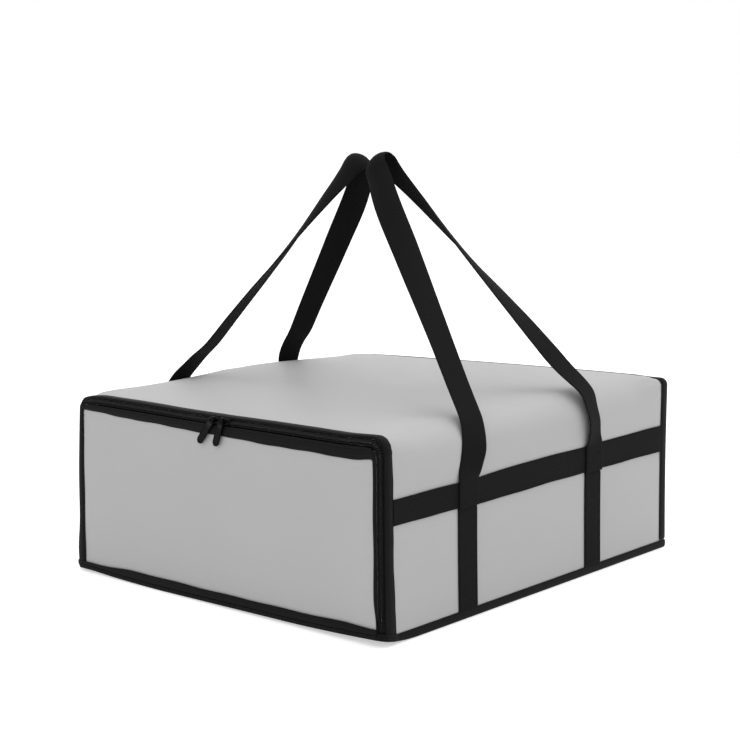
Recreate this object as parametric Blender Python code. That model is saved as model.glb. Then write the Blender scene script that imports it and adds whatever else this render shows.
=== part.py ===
"""Insulated box bag for carrying food, with a zipped front flap and two webbing handles.

The silver outer cloth wraps over the top and both sides in one piece, lined with foam and
foil. The front is a flap hinged along its bottom edge and closed by a zip with two sliders.
Metres. X runs across the front, Y from the front to the back, Z up. The origin is on the
surface that the bag stands on, under its middle.
"""

import math

import bmesh
import bpy
from mathutils import Matrix, Vector

# Size of the closed bag, cloth to cloth.
WIDTH = 0.560
DEPTH = 0.620
HEIGHT = 0.2455
HALF = WIDTH / 2
FRONT = -DEPTH / 2
REAR = DEPTH / 2
SHOULDER = 0.026  # radius of the soft fold between the top and each side
GAP = 0.0003  # between pieces that touch
CORNER_STEPS = 5  # pieces that each rounded upper corner is drawn with
TOP_STEPS = 6  # pieces that the straight run between the corners is drawn with

# The sandwich of the walls, from outside in.
CLOTH = 0.0015
FOAM = 0.008
FOIL = 0.001
FOAM_DEPTH = CLOTH + GAP
FOIL_DEPTH = FOAM_DEPTH + FOAM + GAP
WALL = FOIL_DEPTH + FOIL
FOOT = GAP  # lower edge of the side cloth

# Mouth of the bag, where the side walls end behind the flap.
MOUTH = FRONT + 0.007
WALL_FRONT = FRONT + 0.010
WALL_REAR = REAR - CLOTH - GAP - FOAM - GAP - FOIL - GAP
BASE_FRONT = FRONT + 0.0135
INSIDE = HALF - WALL - GAP  # half the width between the side linings

# Flap, a flat panel in the front plane.
FLAP_HALF = 0.2735
FLAP_TOP = 0.236
FLAP_CORNER = 0.017
FLAP_CLOTH = 0.0012
FLAP_FOAM = 0.006
FLAP_FOAM_INSET = 0.0045
FLAP_BOTTOM = 0.006
SIDE_BAND = 0.0085  # width of the black edge tape down the flap's sides
TOP_BAND = 0.0148
FOOT_BAND = 0.0115  # height of the black foot band at the corners
FOOT_BOW = 0.002  # how much higher the foot band is at its middle
TAPE = 0.0012  # thickness of edge tape
LIP = 0.0012  # how far the flap's cloth ends inside its edge tape's fold
INNER_CORNER = 0.003  # of the grey panel that the tapes leave free

# Edge of the mouth that the outer half of the zip is sewn to.
MOUTH_HALF = 0.2782
MOUTH_TOP = 0.244
MOUTH_CORNER = 0.0243
ZIP_FOOT = 0.016
GROOVE = 0.0012  # between the zip's sewn edge and the mouth's edge tape
BINDING_WIDTH = 0.0145  # how far the mouth's edge tape lies on the side cloth
REAR_TURN = 0.010  # how far the rear edge tape lies on the rear panel
BASE_BINDING = 0.012  # height of the edge tape along the base
HINGE_ROUND = 0.0018  # of the long edges of the flap's fabric hinge
FOOT_BAND_LIFT = 0.0005  # lower edge of the foot band, over the flap's bottom

# Zip.
ZIP_TAPE = 0.0008
TEETH_LIFT = 0.0005  # from the tape to the underside of the rows
TEETH_HEIGHT = 0.0020
TEETH_PITCH = 0.0072
TEETH_BACK = 0.0033  # outer edge of a row, from the middle line
TEETH_ROOT = 0.0018
TEETH_REACH = 0.0013  # how far a tooth crosses the middle line
TEETH_FOOT = 0.030
TEETH_CLEAR = 0.00035
STOP_LENGTH = 0.007
TOOTH_SLOPE = 0.2  # share of a tooth that each of its slanted flanks takes

# Sliders and pulls. A slider's own axes are along the zip, across it and out of it.
SLIDER_X = {"left": 0.0020, "right": 0.0200}
SLIDER_LENGTH = 0.0175
SLIDER_HALF = 0.0046
SLIDER_NARROW = 0.86  # width at its ends, over the width at its middle
SLIDER_FULL = 0.6  # share of its length that has the whole width
SLIDER_CHAMFER = (0.0012, 0.0006)  # of the cap's long edges, across it and down it
SLIDER_PLATE = 0.0015
SLIDER_FLANGE = 0.0009
SLIDER_FLOOR = 0.0005
BRIDGE_HALF = 0.0046
BRIDGE_BEND = (0.0012, 0.0016)  # of the bridge's two bends, along it and down it
BRIDGE_HEIGHT = 0.0082  # of the bridge bar's middle, over the tape
BRIDGE_RADIUS = 0.0008
EYE_RADIUS = 0.0016
EYE_FILL = 0.55  # half thickness of the rolled end, over the space round the bridge
EYE_START = 300  # degrees round the bridge where the rolled end begins
EYE_STEP = 50
PULL_LENGTH = {"left": 0.043, "right": 0.039}
PULL_LEAN = {"left": 31.0, "right": 18.0}  # degrees from straight down, tip to the left
PULL_WIDTH = 0.0090
PULL_NECK = 0.0044
PULL_THICKNESS = 0.0024
PULL_CLEAR = 0.0002  # more room between the rolled end and the blade
PULL_NECK_RUN = (0.0035, 0.0060)  # where the narrow neck begins and ends
PULL_BLADE = 0.0090  # where the blade has its whole width
PULL_TIP_TURNS = (0, 30, 60, 80)  # degrees round the half circle of the tip

# Webbing.
WEB = 0.038
WEB_THICKNESS = 0.0018
HANDLE_THICKNESS = 0.0020
SEWN_INSET = 0.001  # from the belt's lower edge to the sewn end of a handle
BELT_LOW = 0.1405
BELT_TOP = BELT_LOW + WEB
STRAP_Y = {"front": -0.149, "rear": 0.124}
HANDLE_X = HALF + GAP + WEB_THICKNESS + GAP + HANDLE_THICKNESS / 2
LEG_HINGE = BELT_TOP + 0.0012
LEG_STRAIGHT = (0.205, 0.222)  # heights where the leg still lies along the side wall
LOOP_HINGE = (0.2622, 0.2530)  # X and Z of the line where the loop folds, right handle
LEG_TO_FOLD = 0.012  # last flat length of the leg before that line
FOLD_Y = {  # middle of each leg where it reaches that line
    "left": {"front": -0.112, "rear": 0.098},
    "right": {"front": -0.128, "rear": 0.107},
}
PEAK = {"left": (-0.0187, 0.003, 0.557), "right": (0.0155, -0.004, 0.557)}
PEAK_RADIUS = 0.021  # of the loop's turn over its peak
PEAK_STEPS = 6
LEG_STEPS = 20
LEG_FIRST = 0.006  # run of the first whole cross-section of a loop's leg
TWIST_POWER = 2.2  # the quarter turn gathers towards the peak
SQUARING = 0.030  # run over which the sheared end becomes square to the leg
END_GAP = 0.00045  # from a fold line to the webbing on each side of it
END_TAPER = 0.0008
END_THIN = 0.35  # thickness at such an end, over the thickness elsewhere

SILVER = (0.47, 0.475, 0.485)
BLACK = (0.016, 0.016, 0.017)
JET = (0.010, 0.010, 0.011)
FOIL_GREY = (0.72, 0.73, 0.75)
FOAM_WHITE = (0.80, 0.80, 0.78)


def material(name, colour, roughness, metallic=0.0):
    """One Principled BSDF of a given colour, roughness and metallic value."""
    made = bpy.data.materials.new(name)
    made.use_nodes = True
    shader = made.node_tree.nodes["Principled BSDF"]
    shader.inputs["Base Color"].default_value = (*colour, 1.0)
    shader.inputs["Roughness"].default_value = roughness
    shader.inputs["Metallic"].default_value = metallic
    made.diffuse_color = (*colour, 1.0)
    return made


FINISH = {
    "silver": (SILVER, 0.55, 0.0),
    "tape": (BLACK, 0.50, 0.0),
    "webbing": (BLACK, 0.80, 0.0),
    "foam": (FOAM_WHITE, 0.90, 0.0),
    "foil": (FOIL_GREY, 0.35, 0.8),
    "zip": (BLACK, 0.60, 0.0),
    "slider": (JET, 0.20, 0.3),
}


def add_object(name, bm, finish, parent=None, at=None):
    """Makes an object of a mesh drawn in world axes, with its origin at the point given."""
    bmesh.ops.recalc_face_normals(bm, faces=bm.faces)
    if at is not None:
        bmesh.ops.translate(bm, vec=-Vector(at), verts=bm.verts)
    mesh = bpy.data.meshes.new(name)
    bm.to_mesh(mesh)
    bm.free()
    mesh.shade_smooth()
    mesh.set_sharp_from_angle(angle=math.radians(35))
    made = bpy.data.objects.new(name, mesh)
    mesh.materials.append(material(name, *FINISH[finish]))
    bpy.context.collection.objects.link(made)
    if at is not None:
        made.location = Vector(at)
    if parent is not None:
        made.parent = parent
        made.matrix_parent_inverse = parent.matrix_world.inverted()
    bpy.context.view_layer.update()
    return made


def add_pivot(name, at):
    """An empty on a joint's axis, which its moving pieces hang from."""
    empty = bpy.data.objects.new(name, None)
    empty.empty_display_size = 0.02
    empty.location = Vector(at)
    bpy.context.collection.objects.link(empty)
    bpy.context.view_layer.update()
    return empty


def loft(rings, twisted=False):
    """A closed body through a row of like cross-sections, each one an extrusion of the last.

    Between four-cornered sections that turn, each bent face is cut along the diagonal that
    starts at the same corner, so that the two broad sides keep their distance.
    """
    bm = bmesh.new()
    first = [bm.verts.new(point) for point in rings[0]]
    face = bm.faces.new(first)
    before = first
    for ring in rings[1:]:
        face = bmesh.ops.extrude_discrete_faces(bm, faces=[face])["faces"][0]
        for loop, point in zip(face.loops, ring):
            loop.vert.co = point
        after = [loop.vert for loop in face.loops]
        if twisted:
            for near, far in ((0, 1), (3, 2), (1, 2), (0, 3)):
                bmesh.ops.connect_verts(bm, verts=[before[near], after[far]])
        before = after
    bm.faces.new(first)
    return bm


def plate(outline, y_front, y_rear):
    """A flat panel of an outline in X and Z, as thick as the two depths are apart."""
    bm = bmesh.new()
    face = bm.faces.new([bm.verts.new((x, y_front, z)) for x, z in outline])
    grown = bmesh.ops.extrude_face_region(bm, geom=[face])["geom"]
    moved = [part for part in grown if isinstance(part, bmesh.types.BMVert)]
    bmesh.ops.translate(bm, vec=(0, y_rear - y_front, 0), verts=moved)
    return bm


def block(low, high):
    """A plain block between two opposite corners."""
    bm = bmesh.new()
    low, high = Vector(low), Vector(high)
    size = high - low
    place = Matrix.Translation((low + high) / 2) @ Matrix.Diagonal((*size, 1.0))
    bmesh.ops.create_cube(bm, size=1.0, matrix=place)
    return bm


def arch(half, top, radius, foot):
    """Points up one side, round the corner, over the top and down the other side.

    Each is (point, outward direction) in X and Z. Arches of any size have points that
    answer each other one to one, so they can be joined into walls, tapes and seams.
    """
    shoulder = top - radius
    right = [((half, foot), (1.0, 0.0))]
    for step in range(CORNER_STEPS + 1):
        turn = math.radians(90 * step / CORNER_STEPS)
        out = (math.cos(turn), math.sin(turn))
        right.append(((half - radius + radius * out[0], shoulder + radius * out[1]), out))
    reach = half - radius
    for step in range(1, TOP_STEPS // 2):
        x = reach * (1 - 2 * step / TOP_STEPS)
        right.append(((x, top), (0.0, 1.0)))
    left = [((-x, z), (-a, b)) for (x, z), (a, b) in right]
    return left + [((0.0, top), (0.0, 1.0))] + right[::-1]


def points_of(curve):
    """Only the points of an arch."""
    return [point for point, _ in curve]


def wall_arch(depth, foot):
    """The bag's cross-section at a depth below the outer cloth."""
    return arch(HALF - depth, HEIGHT - depth, SHOULDER - depth, foot)


def wrap_layer(depth, thickness, foot, y_front, y_rear):
    """One layer of the top and both sides, bent over the shoulders in one piece."""
    outer = points_of(wall_arch(depth, foot))
    inner = points_of(wall_arch(depth + thickness, foot))
    return plate(outer + inner[::-1], y_front, y_rear)


def build_walls():
    """Outer cloth, foam and foil of the wrap, the rear and the base."""
    inner_foot = CLOTH + GAP
    rear_foam = REAR - CLOTH - GAP
    rear_foil = rear_foam - FOAM - GAP
    add_object("wrap_outer", wrap_layer(0, CLOTH, FOOT, MOUTH, REAR - CLOTH - GAP), "silver")
    layers = {"wrap_foam": (FOAM_DEPTH, FOAM, "foam"), "wrap_lining": (FOIL_DEPTH, FOIL, "foil")}
    for name, (depth, thickness, finish) in layers.items():
        add_object(name, wrap_layer(depth, thickness, inner_foot, WALL_FRONT, WALL_REAR), finish)
    add_object("rear_outer", plate(points_of(wall_arch(0, FOOT)), REAR - CLOTH, REAR), "silver")
    behind = points_of(wall_arch(FOAM_DEPTH, inner_foot))
    add_object("rear_foam", plate(behind, rear_foam - FOAM, rear_foam), "foam")
    add_object("rear_lining", plate(behind, rear_foil - FOIL, rear_foil), "foil")
    across = HALF - CLOTH - GAP
    add_object(
        "base_outer",
        block((-across, BASE_FRONT, 0), (across, REAR - CLOTH - GAP, CLOTH)),
        "tape",
    )
    foam_top = inner_foot + FOAM
    layers = {
        "base_foam": (inner_foot, foam_top, "foam"),
        "base_lining": (foam_top + GAP, foam_top + GAP + FOIL, "foil"),
    }
    for name, (low, high, finish) in layers.items():
        body = block((-INSIDE, BASE_FRONT, low), (INSIDE, WALL_REAR, high))
        add_object(name, body, finish)


def mouth_ring(outer, inner):
    """Cross-section of the mouth's edge tape: a leg before the wall's edge and one on the wall."""
    (x, z), (a, b) = outer
    front, rear = MOUTH - GAP - TAPE, MOUTH - GAP - TAPE + BINDING_WIDTH
    over = Vector((a, 0, b))
    skin = Vector((x, 0, z)) + over * GAP
    edge = Vector((inner[0], 0, inner[1])) + over * GROOVE
    top = skin + over * TAPE
    along = Vector((0, 1, 0))
    return [
        edge + along * front,
        top + along * front,
        top + along * rear,
        skin + along * rear,
        skin + along * (front + TAPE),
        edge + along * (front + TAPE),
    ]


def rear_ring(outer):
    """Cross-section of the rear edge tape: a leg on the wall and one turned on the rear panel."""
    (x, z), (a, b) = outer
    over = Vector((a, 0, b))
    skin = Vector((x, 0, z)) + over * GAP
    top = skin + over * TAPE
    edge = Vector((x, 0, z)) - over * REAR_TURN
    along = Vector((0, 1, 0))
    start, rear = REAR - BINDING_WIDTH, REAR + GAP
    return [
        skin + along * start,
        top + along * start,
        top + along * (rear + TAPE),
        edge + along * (rear + TAPE),
        edge + along * rear,
        skin + along * rear,
    ]


def build_bindings():
    """The black edge tape round the mouth, the rear and the base."""
    skin = wall_arch(0, FOOT)
    mouth = points_of(arch(MOUTH_HALF, MOUTH_TOP, MOUTH_CORNER, FOOT))
    rings = [mouth_ring(outer, inner) for outer, inner in zip(skin, mouth)]
    add_object("mouth_binding", loft(rings), "tape")
    raised = wall_arch(0, BASE_BINDING + GAP)
    add_object("rear_binding", loft([rear_ring(outer) for outer in raised]), "tape")
    face = HALF + GAP
    low = (face, MOUTH - GAP - TAPE + BINDING_WIDTH + GAP, 0)
    high = (face + TAPE, REAR + GAP + TAPE, BASE_BINDING)
    add_object("base_binding_right", block(low, high), "tape")
    add_object("base_binding_left", block((-high[0], *low[1:]), (-low[0], *high[1:])), "tape")
    low = (-HALF, REAR + GAP, 0)
    high = (HALF, REAR + GAP + TAPE, BASE_BINDING)
    add_object("base_binding_rear", block(low, high), "tape")
    low = (-INSIDE, FRONT, 0)
    high = (INSIDE, BASE_FRONT - GAP, FLAP_BOTTOM - GAP)
    body = block(low, high)
    long_edges = [e for e in body.edges if abs(e.verts[0].co.x - e.verts[1].co.x) > HALF]
    bmesh.ops.bevel(
        body,
        geom=long_edges,
        offset=HINGE_ROUND,
        segments=2,
        profile=0.5,
        affect="EDGES",
        material=-1,
    )
    add_object("hinge_binding", body, "tape")


def foot_line(x):
    """Height of the foot band's upper edge, which bows up in the middle."""
    return FLAP_BOTTOM + FOOT_BAND + FOOT_BOW * (1 - (x / FLAP_HALF) ** 2)


def build_flap(pivot):
    """The front flap's cloth, foam, foil and edge tapes."""
    cloth = arch(FLAP_HALF - LIP, FLAP_TOP - LIP, FLAP_CORNER - LIP, FLAP_BOTTOM + LIP)
    rear = FRONT + FLAP_CLOTH
    add_object("flap_outer", plate(points_of(cloth), FRONT, rear), "silver", pivot)
    inset = FLAP_FOAM_INSET
    core = points_of(
        arch(FLAP_HALF - inset, FLAP_TOP - inset, FLAP_CORNER - inset, FLAP_BOTTOM + LIP)
    )
    front = rear + GAP
    add_object("flap_foam", plate(core, front, front + FLAP_FOAM), "foam", pivot)
    front += FLAP_FOAM + GAP
    add_object("flap_lining", plate(core, front, front + FOIL), "foil", pivot)
    front = FRONT - GAP - TAPE
    foot = foot_line(FLAP_HALF - SIDE_BAND) + GAP
    outer = points_of(arch(FLAP_HALF, FLAP_TOP, FLAP_CORNER, foot))
    inner = points_of(arch(FLAP_HALF - SIDE_BAND, FLAP_TOP - TOP_BAND, INNER_CORNER, foot))
    body = plate(outer + inner[::-1], front, front + TAPE)
    add_object("flap_binding", body, "tape", pivot)
    steps = 12
    low = FLAP_BOTTOM + FOOT_BAND_LIFT
    bow = [FLAP_HALF * (2 * step / steps - 1) for step in range(steps + 1)]
    outline = [(x, foot_line(x)) for x in bow] + [(FLAP_HALF, low), (-FLAP_HALF, low)]
    add_object("flap_foot_band", plate(outline, front, front + TAPE), "tape", pivot)


class Seam:
    """The sloping strip between the flap's edge and the mouth's edge, where the zip lies.

    A place on it is the length run along its middle line, the distance across from that
    line towards the mouth, and the height out of the strip.
    """

    def __init__(self):
        flap = arch(FLAP_HALF, FLAP_TOP, FLAP_CORNER, ZIP_FOOT)
        mouth = arch(MOUTH_HALF, MOUTH_TOP, MOUTH_CORNER, ZIP_FOOT)
        rise = MOUTH - FRONT
        self.stations = []
        for ((x, z), (a, b)), ((u, w), _) in zip(flap, mouth):
            spread = (u - x) * a + (w - z) * b
            across = Vector((a * spread, rise, b * spread))
            out = Vector((a * rise, -spread, b * rise)).normalized()
            middle = Vector(((x + u) / 2, (FRONT + MOUTH) / 2, (z + w) / 2))
            self.stations.append((middle, across.normalized(), out, across.length / 2))
        self.runs = [0.0]
        for (here, *_), (there, *_) in zip(self.stations, self.stations[1:]):
            self.runs.append(self.runs[-1] + (there - here).length)
        self.length = self.runs[-1]

    def frame(self, run):
        """Middle point, direction across, direction out and half width at a run."""
        for index in range(len(self.runs) - 2):
            if run <= self.runs[index + 1]:
                break
        else:
            index = len(self.runs) - 2
        share = (run - self.runs[index]) / (self.runs[index + 1] - self.runs[index])
        here, there = self.stations[index], self.stations[index + 1]
        return tuple(a + (b - a) * share for a, b in zip(here, there))

    def at(self, run, across, height):
        """A point by its run, its distance towards the mouth and its height."""
        middle, side, out, _ = self.frame(run)
        return middle + side * across + out * height

    def tape(self, sign):
        """One half of the zip's cloth tape, from the middle line to its sewn edge."""
        rings = []
        for run in self.runs:
            half = self.frame(run)[3]
            near, far = sign * GAP, sign * (half - GAP)
            corners = [(near, 0), (far, 0), (far, -ZIP_TAPE), (near, -ZIP_TAPE)]
            rings.append([self.at(run, across, height) for across, height in corners])
        return loft(rings)

    def teeth(self, sign, start):
        """One row of teeth on its bead, all of one piece, as a comb laid along the strip.

        The comb is drawn flat as faces between the straight back of the bead and the
        toothed edge. Straight runs are one face each and the rounded corners one face for
        every tooth, and then the whole row is extruded out of the strip.
        """
        bm = bmesh.new()
        out_of = bm.verts.layers.float_vector.new("out")

        def corner(run, across):
            vert = bm.verts.new(self.at(run, sign * across, TEETH_LIFT))
            vert[out_of] = self.frame(run)[2]
            return vert

        first, last = TEETH_FOOT - ZIP_FOOT, self.length - TEETH_FOOT + ZIP_FOOT
        wide = TEETH_PITCH / 2 - TEETH_CLEAR
        slope = wide * TOOTH_SLOPE
        count = int((last - first - TEETH_PITCH) / TEETH_PITCH)
        left_end, right_end = self.runs[1], self.runs[-2]
        past_corner = 1 + CORNER_STEPS
        top_start, top_end = self.runs[past_corner], self.runs[-1 - past_corner]
        back = [corner(first, TEETH_BACK)]
        edge = [corner(first, TEETH_ROOT)]
        for number in range(count):
            run = first + start + number * TEETH_PITCH
            for ahead, across in (
                (0, TEETH_ROOT),
                (slope, -TEETH_REACH),
                (wide - slope, -TEETH_REACH),
                (wide, TEETH_ROOT),
            ):
                edge.append(corner(run + ahead, across))
            after = run + TEETH_PITCH
            straight = run < left_end or top_start < run < top_end or run > right_end
            stays = after < left_end or top_start < after < top_end or run > right_end
            if not (straight and stays) or number == count - 1:
                close = last if number == count - 1 else run + wide + TEETH_CLEAR
                back.append(corner(close, TEETH_BACK))
                edge.append(corner(close, TEETH_ROOT))
                bm.faces.new(edge + back[::-1])
                back, edge = back[-1:], edge[-1:]
        grown = bmesh.ops.extrude_face_region(bm, geom=bm.faces[:])["geom"]
        for vert in grown:
            if isinstance(vert, bmesh.types.BMVert):
                vert.co += vert[out_of].normalized() * TEETH_HEIGHT
        return bm


def build_zip(seam, pivot):
    """Both halves of the zip's tape and teeth, and the stops at its lower ends."""
    add_object("zip_tape_body", seam.tape(1), "zip")
    add_object("zip_tape_flap", seam.tape(-1), "zip", pivot)
    add_object("zip_teeth_body", seam.teeth(1, TEETH_CLEAR), "zip")
    add_object("zip_teeth_flap", seam.teeth(-1, TEETH_PITCH / 2 + TEETH_CLEAR), "zip", pivot)
    for side, begin in (("left", TEETH_FOOT - ZIP_FOOT - GAP - STOP_LENGTH), ("right", None)):
        if begin is None:
            begin = seam.length - TEETH_FOOT + ZIP_FOOT + GAP
        rings = []
        for run in (begin, begin + STOP_LENGTH):
            corners = [
                (2 * GAP, GAP),
                (TEETH_BACK, GAP),
                (TEETH_BACK, TEETH_HEIGHT),
                (2 * GAP, TEETH_HEIGHT),
            ]
            rings.append([seam.at(run, across, height) for across, height in corners])
        add_object(f"zip_stop_{side}", loft(rings), "slider")


def rod(path, radius, side, out, sides=8):
    """A round bar along a path in the plane of the directions along and out."""
    rings = []
    for index, point in enumerate(path):
        ahead = path[min(index + 1, len(path) - 1)] - path[max(index - 1, 0)]
        normal = side.cross(ahead).normalized()
        before = path[index] - path[index - 1] if index else ahead
        stretch = 1 / max(0.5, math.cos(before.angle(ahead)))
        ring = []
        for step in range(sides):
            turn = 2 * math.pi * (step + 0.5) / sides
            ring.append(
                point + side * radius * math.cos(turn) + normal * radius * stretch * math.sin(turn)
            )
        rings.append(ring)
    return loft(rings)


def build_slider(seam, side, pivot):
    """A slider's cap over the teeth, with the bridge that its pull turns on."""
    x = SLIDER_X[side]
    middle, across, out, _ = seam.frame(seam.length / 2 + x)
    along = Vector((1, 0, 0))

    def at(ahead, over, height):
        return middle + along * ahead + across * over + out * height

    top = TEETH_LIFT + TEETH_HEIGHT + GAP + SLIDER_PLATE
    low = top - SLIDER_PLATE
    wide, inner = SLIDER_HALF, SLIDER_HALF - SLIDER_FLANGE
    inward, downward = SLIDER_CHAMFER
    section = [(-wide, SLIDER_FLOOR), (-wide, top - downward), (-wide + inward, top)]
    section += [(wide - inward, top), (wide, top - downward), (wide, SLIDER_FLOOR)]
    section += [(inner, SLIDER_FLOOR), (inner, low), (-inner, low), (-inner, SLIDER_FLOOR)]
    half = SLIDER_LENGTH / 2
    full = half * SLIDER_FULL
    narrow = SLIDER_NARROW
    rings = []
    for ahead, share in ((-half, narrow), (-full, 1.0), (full, 1.0), (half, narrow)):
        ring = []
        for over, height in section:
            ring.append(at(ahead, over * share if abs(over) > inner else over, height))
        rings.append(ring)
    origin = at(0, 0, BRIDGE_HEIGHT)
    cap = add_object(f"slider_{side}", loft(rings), "slider", pivot, origin)
    inward, downward = BRIDGE_BEND
    path = [
        (-BRIDGE_HALF, top - SLIDER_PLATE / 2),
        (-BRIDGE_HALF, BRIDGE_HEIGHT - downward),
        (-BRIDGE_HALF + inward, BRIDGE_HEIGHT),
    ]
    path += [(-ahead, height) for ahead, height in reversed(path)]
    bar = rod([at(ahead, 0, height) for ahead, height in path], BRIDGE_RADIUS, across, out)
    bridge = add_object(f"slider_{side}_bridge_guide", bar, "slider", cap)
    bridge.hide_render = True
    bridge.display_type = "WIRE"
    join = cap.modifiers.new("bridge", "BOOLEAN")
    join.operation = "UNION"
    join.solver = "EXACT"
    join.object = bridge
    return cap, origin


def strip_ring(centre, wide, thick):
    """The four corners of a flat band's cross-section."""
    low, high = centre - thick, centre + thick
    return [low - wide, low + wide, high + wide, high - wide]


def build_pull(side, parent, eye):
    """A pull: its end rolls over the slider's bridge, and its blade hangs before the flap."""
    along = Vector((1, 0, 0))
    thin = (EYE_RADIUS - BRIDGE_RADIUS) * EYE_FILL
    half, neck = PULL_WIDTH / 2, PULL_NECK / 2
    rings = []
    for degrees in range(EYE_START, -1, -EYE_STEP):
        turn = math.radians(degrees)
        spoke = Vector((0, -math.cos(turn), math.sin(turn)))
        rings.append(strip_ring(eye + spoke * EYE_RADIUS, along * neck, spoke * thin))
    lean = math.radians(PULL_LEAN[side])
    down = Vector((-math.sin(lean), 0, -math.cos(lean)))
    across = Vector((math.cos(lean), 0, -math.sin(lean)))
    out = Vector((0, -1, 0))
    start = eye + out * (EYE_RADIUS + PULL_CLEAR)
    length = PULL_LENGTH[side]
    blade = [(run, neck) for run in PULL_NECK_RUN]
    blade.append((PULL_BLADE, half))
    for degrees in PULL_TIP_TURNS:
        turn = math.radians(degrees)
        blade.append((length - half * (1 - math.sin(turn)), half * math.cos(turn)))
    for run, width in blade:
        rings.append(strip_ring(start + down * run, across * width, out * PULL_THICKNESS / 2))
    return add_object(f"pull_{side}", loft(rings), "slider", parent, eye)


def slab(sign, near, far, y_edges, low, high):
    """A flat piece of webbing on one side wall, between two distances from the middle."""
    ends = sorted((sign * near, sign * far))
    return block((ends[0], y_edges[0], low), (ends[1], y_edges[1], high))


def build_webbing():
    """The belts round the sides, the straps down from them and the handles' sewn ends."""
    face = HALF + GAP
    over = HANDLE_X - HANDLE_THICKNESS / 2
    belt_ends = (MOUTH - GAP - TAPE + BINDING_WIDTH + GAP, REAR - BINDING_WIDTH - GAP)
    foot = BASE_BINDING + GAP
    for side, sign in (("left", -1), ("right", 1)):
        body = slab(sign, face, face + WEB_THICKNESS, belt_ends, BELT_LOW, BELT_TOP)
        add_object(f"belt_{side}", body, "webbing")
        for end, y in STRAP_Y.items():
            edges = (y - WEB / 2, y + WEB / 2)
            body = slab(sign, face, face + WEB_THICKNESS, edges, foot, BELT_LOW - GAP)
            add_object(f"strap_{side}_{end}", body, "webbing")
            body = slab(sign, over, over + HANDLE_THICKNESS, edges, BELT_LOW + SEWN_INSET, BELT_TOP)
            add_object(f"handle_end_{side}_{end}", body, "webbing")


def band(stations, twisted=False):
    """A flat band through (centre, half width, half thickness) stations, thinned at its ends."""
    rings = []
    for index, (centre, wide, thick) in enumerate(stations):
        at_end = index in (0, len(stations) - 1)
        rings.append(strip_ring(centre, wide, thick * (END_THIN if at_end else 1.0)))
    return loft(rings, twisted)


def handle_plane(side, sign):
    """Foot, upward and outward directions of the leaning plane that a loop lies in."""
    foot = Vector((sign * LOOP_HINGE[0], 0, LOOP_HINGE[1]))
    rise = Vector((PEAK[side][0] - foot.x, 0, PEAK[side][2] - foot.z)).normalized()
    outward = Vector((sign * rise.z, 0, -sign * rise.x))
    return foot, rise, outward


def build_leg(side, sign, end, pivot):
    """The lower part of a handle: up the side wall from the belt, then bent over the shoulder."""
    fold, lean, _ = handle_plane(side, sign)
    upright = Vector((0, 0, 1))
    tip = LEG_HINGE + END_GAP
    heights = (tip, tip + END_TAPER, *LEG_STRAIGHT)
    path = [(Vector((sign * HANDLE_X, 0, z)), upright) for z in heights]
    begin = path[-1][0]
    finish = fold - lean * LEG_TO_FOLD
    corner = begin + upright * ((finish.z - begin.z) - abs((finish.x - begin.x) * lean.z / lean.x))
    steps = 4
    for step in range(1, steps + 1):
        share = step / steps
        point = begin * (1 - share) ** 2 + corner * 2 * share * (1 - share) + finish * share**2
        path.append((point, upright.lerp(lean, share).normalized()))
    path.append((fold - lean * (END_GAP + END_TAPER), lean))
    path.append((fold - lean * END_GAP, lean))
    low_y, high_y = STRAP_Y[end], FOLD_Y[side][end]
    wide = Vector((0, WEB / 2, 0))
    stations = []
    for point, ahead in path:
        share = (point.z - tip) / (fold.z - tip)
        centre = point + Vector((0, low_y + (high_y - low_y) * share, 0))
        thick = Vector((sign * ahead.z, 0, -sign * ahead.x)) * HANDLE_THICKNESS / 2
        stations.append((centre, wide, thick))
    add_object(f"handle_leg_{side}_{end}", band(stations), "webbing", pivot)


def loop_half(side, way, foot_y, top):
    """Middle line of half a loop in its plane, as (Y, rise, direction, share) stations.

    It runs straight from the fold line until it touches the circle round the peak, and then
    along the circle to the peak. The share is the part of the whole length left behind.
    """
    peak_y = PEAK[side][1]
    centre = top - PEAK_RADIUS
    reach = way * (foot_y - peak_y)
    far = math.hypot(reach, centre)
    touch = math.atan2(centre, reach) - math.acos(PEAK_RADIUS / far)
    touch_y = PEAK_RADIUS * math.cos(touch)
    touch_rise = centre + PEAK_RADIUS * math.sin(touch)
    straight = math.hypot(reach - touch_y, touch_rise)
    whole = straight + PEAK_RADIUS * (math.pi / 2 - touch)
    direction = ((touch_y - reach) / straight, touch_rise / straight)
    runs = [END_GAP, END_GAP + END_TAPER]
    runs += [LEG_FIRST + (straight - LEG_FIRST) * step / LEG_STEPS for step in range(LEG_STEPS)]
    half = []
    for run in runs:
        part = run / direction[1] if run < LEG_FIRST else run
        out = reach + direction[0] * part
        half.append((peak_y + way * out, direction[1] * part, direction, part / whole))
    for step in range(PEAK_STEPS):
        angle = touch + (math.pi / 2 - touch) * step / PEAK_STEPS
        out, rise = PEAK_RADIUS * math.cos(angle), centre + PEAK_RADIUS * math.sin(angle)
        share = (straight + PEAK_RADIUS * (angle - touch)) / whole
        half.append((peak_y + way * out, rise, (-math.sin(angle), math.cos(angle)), share))
    return [(y, rise, (way * ahead[0], ahead[1]), share) for y, rise, ahead, share in half]


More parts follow.
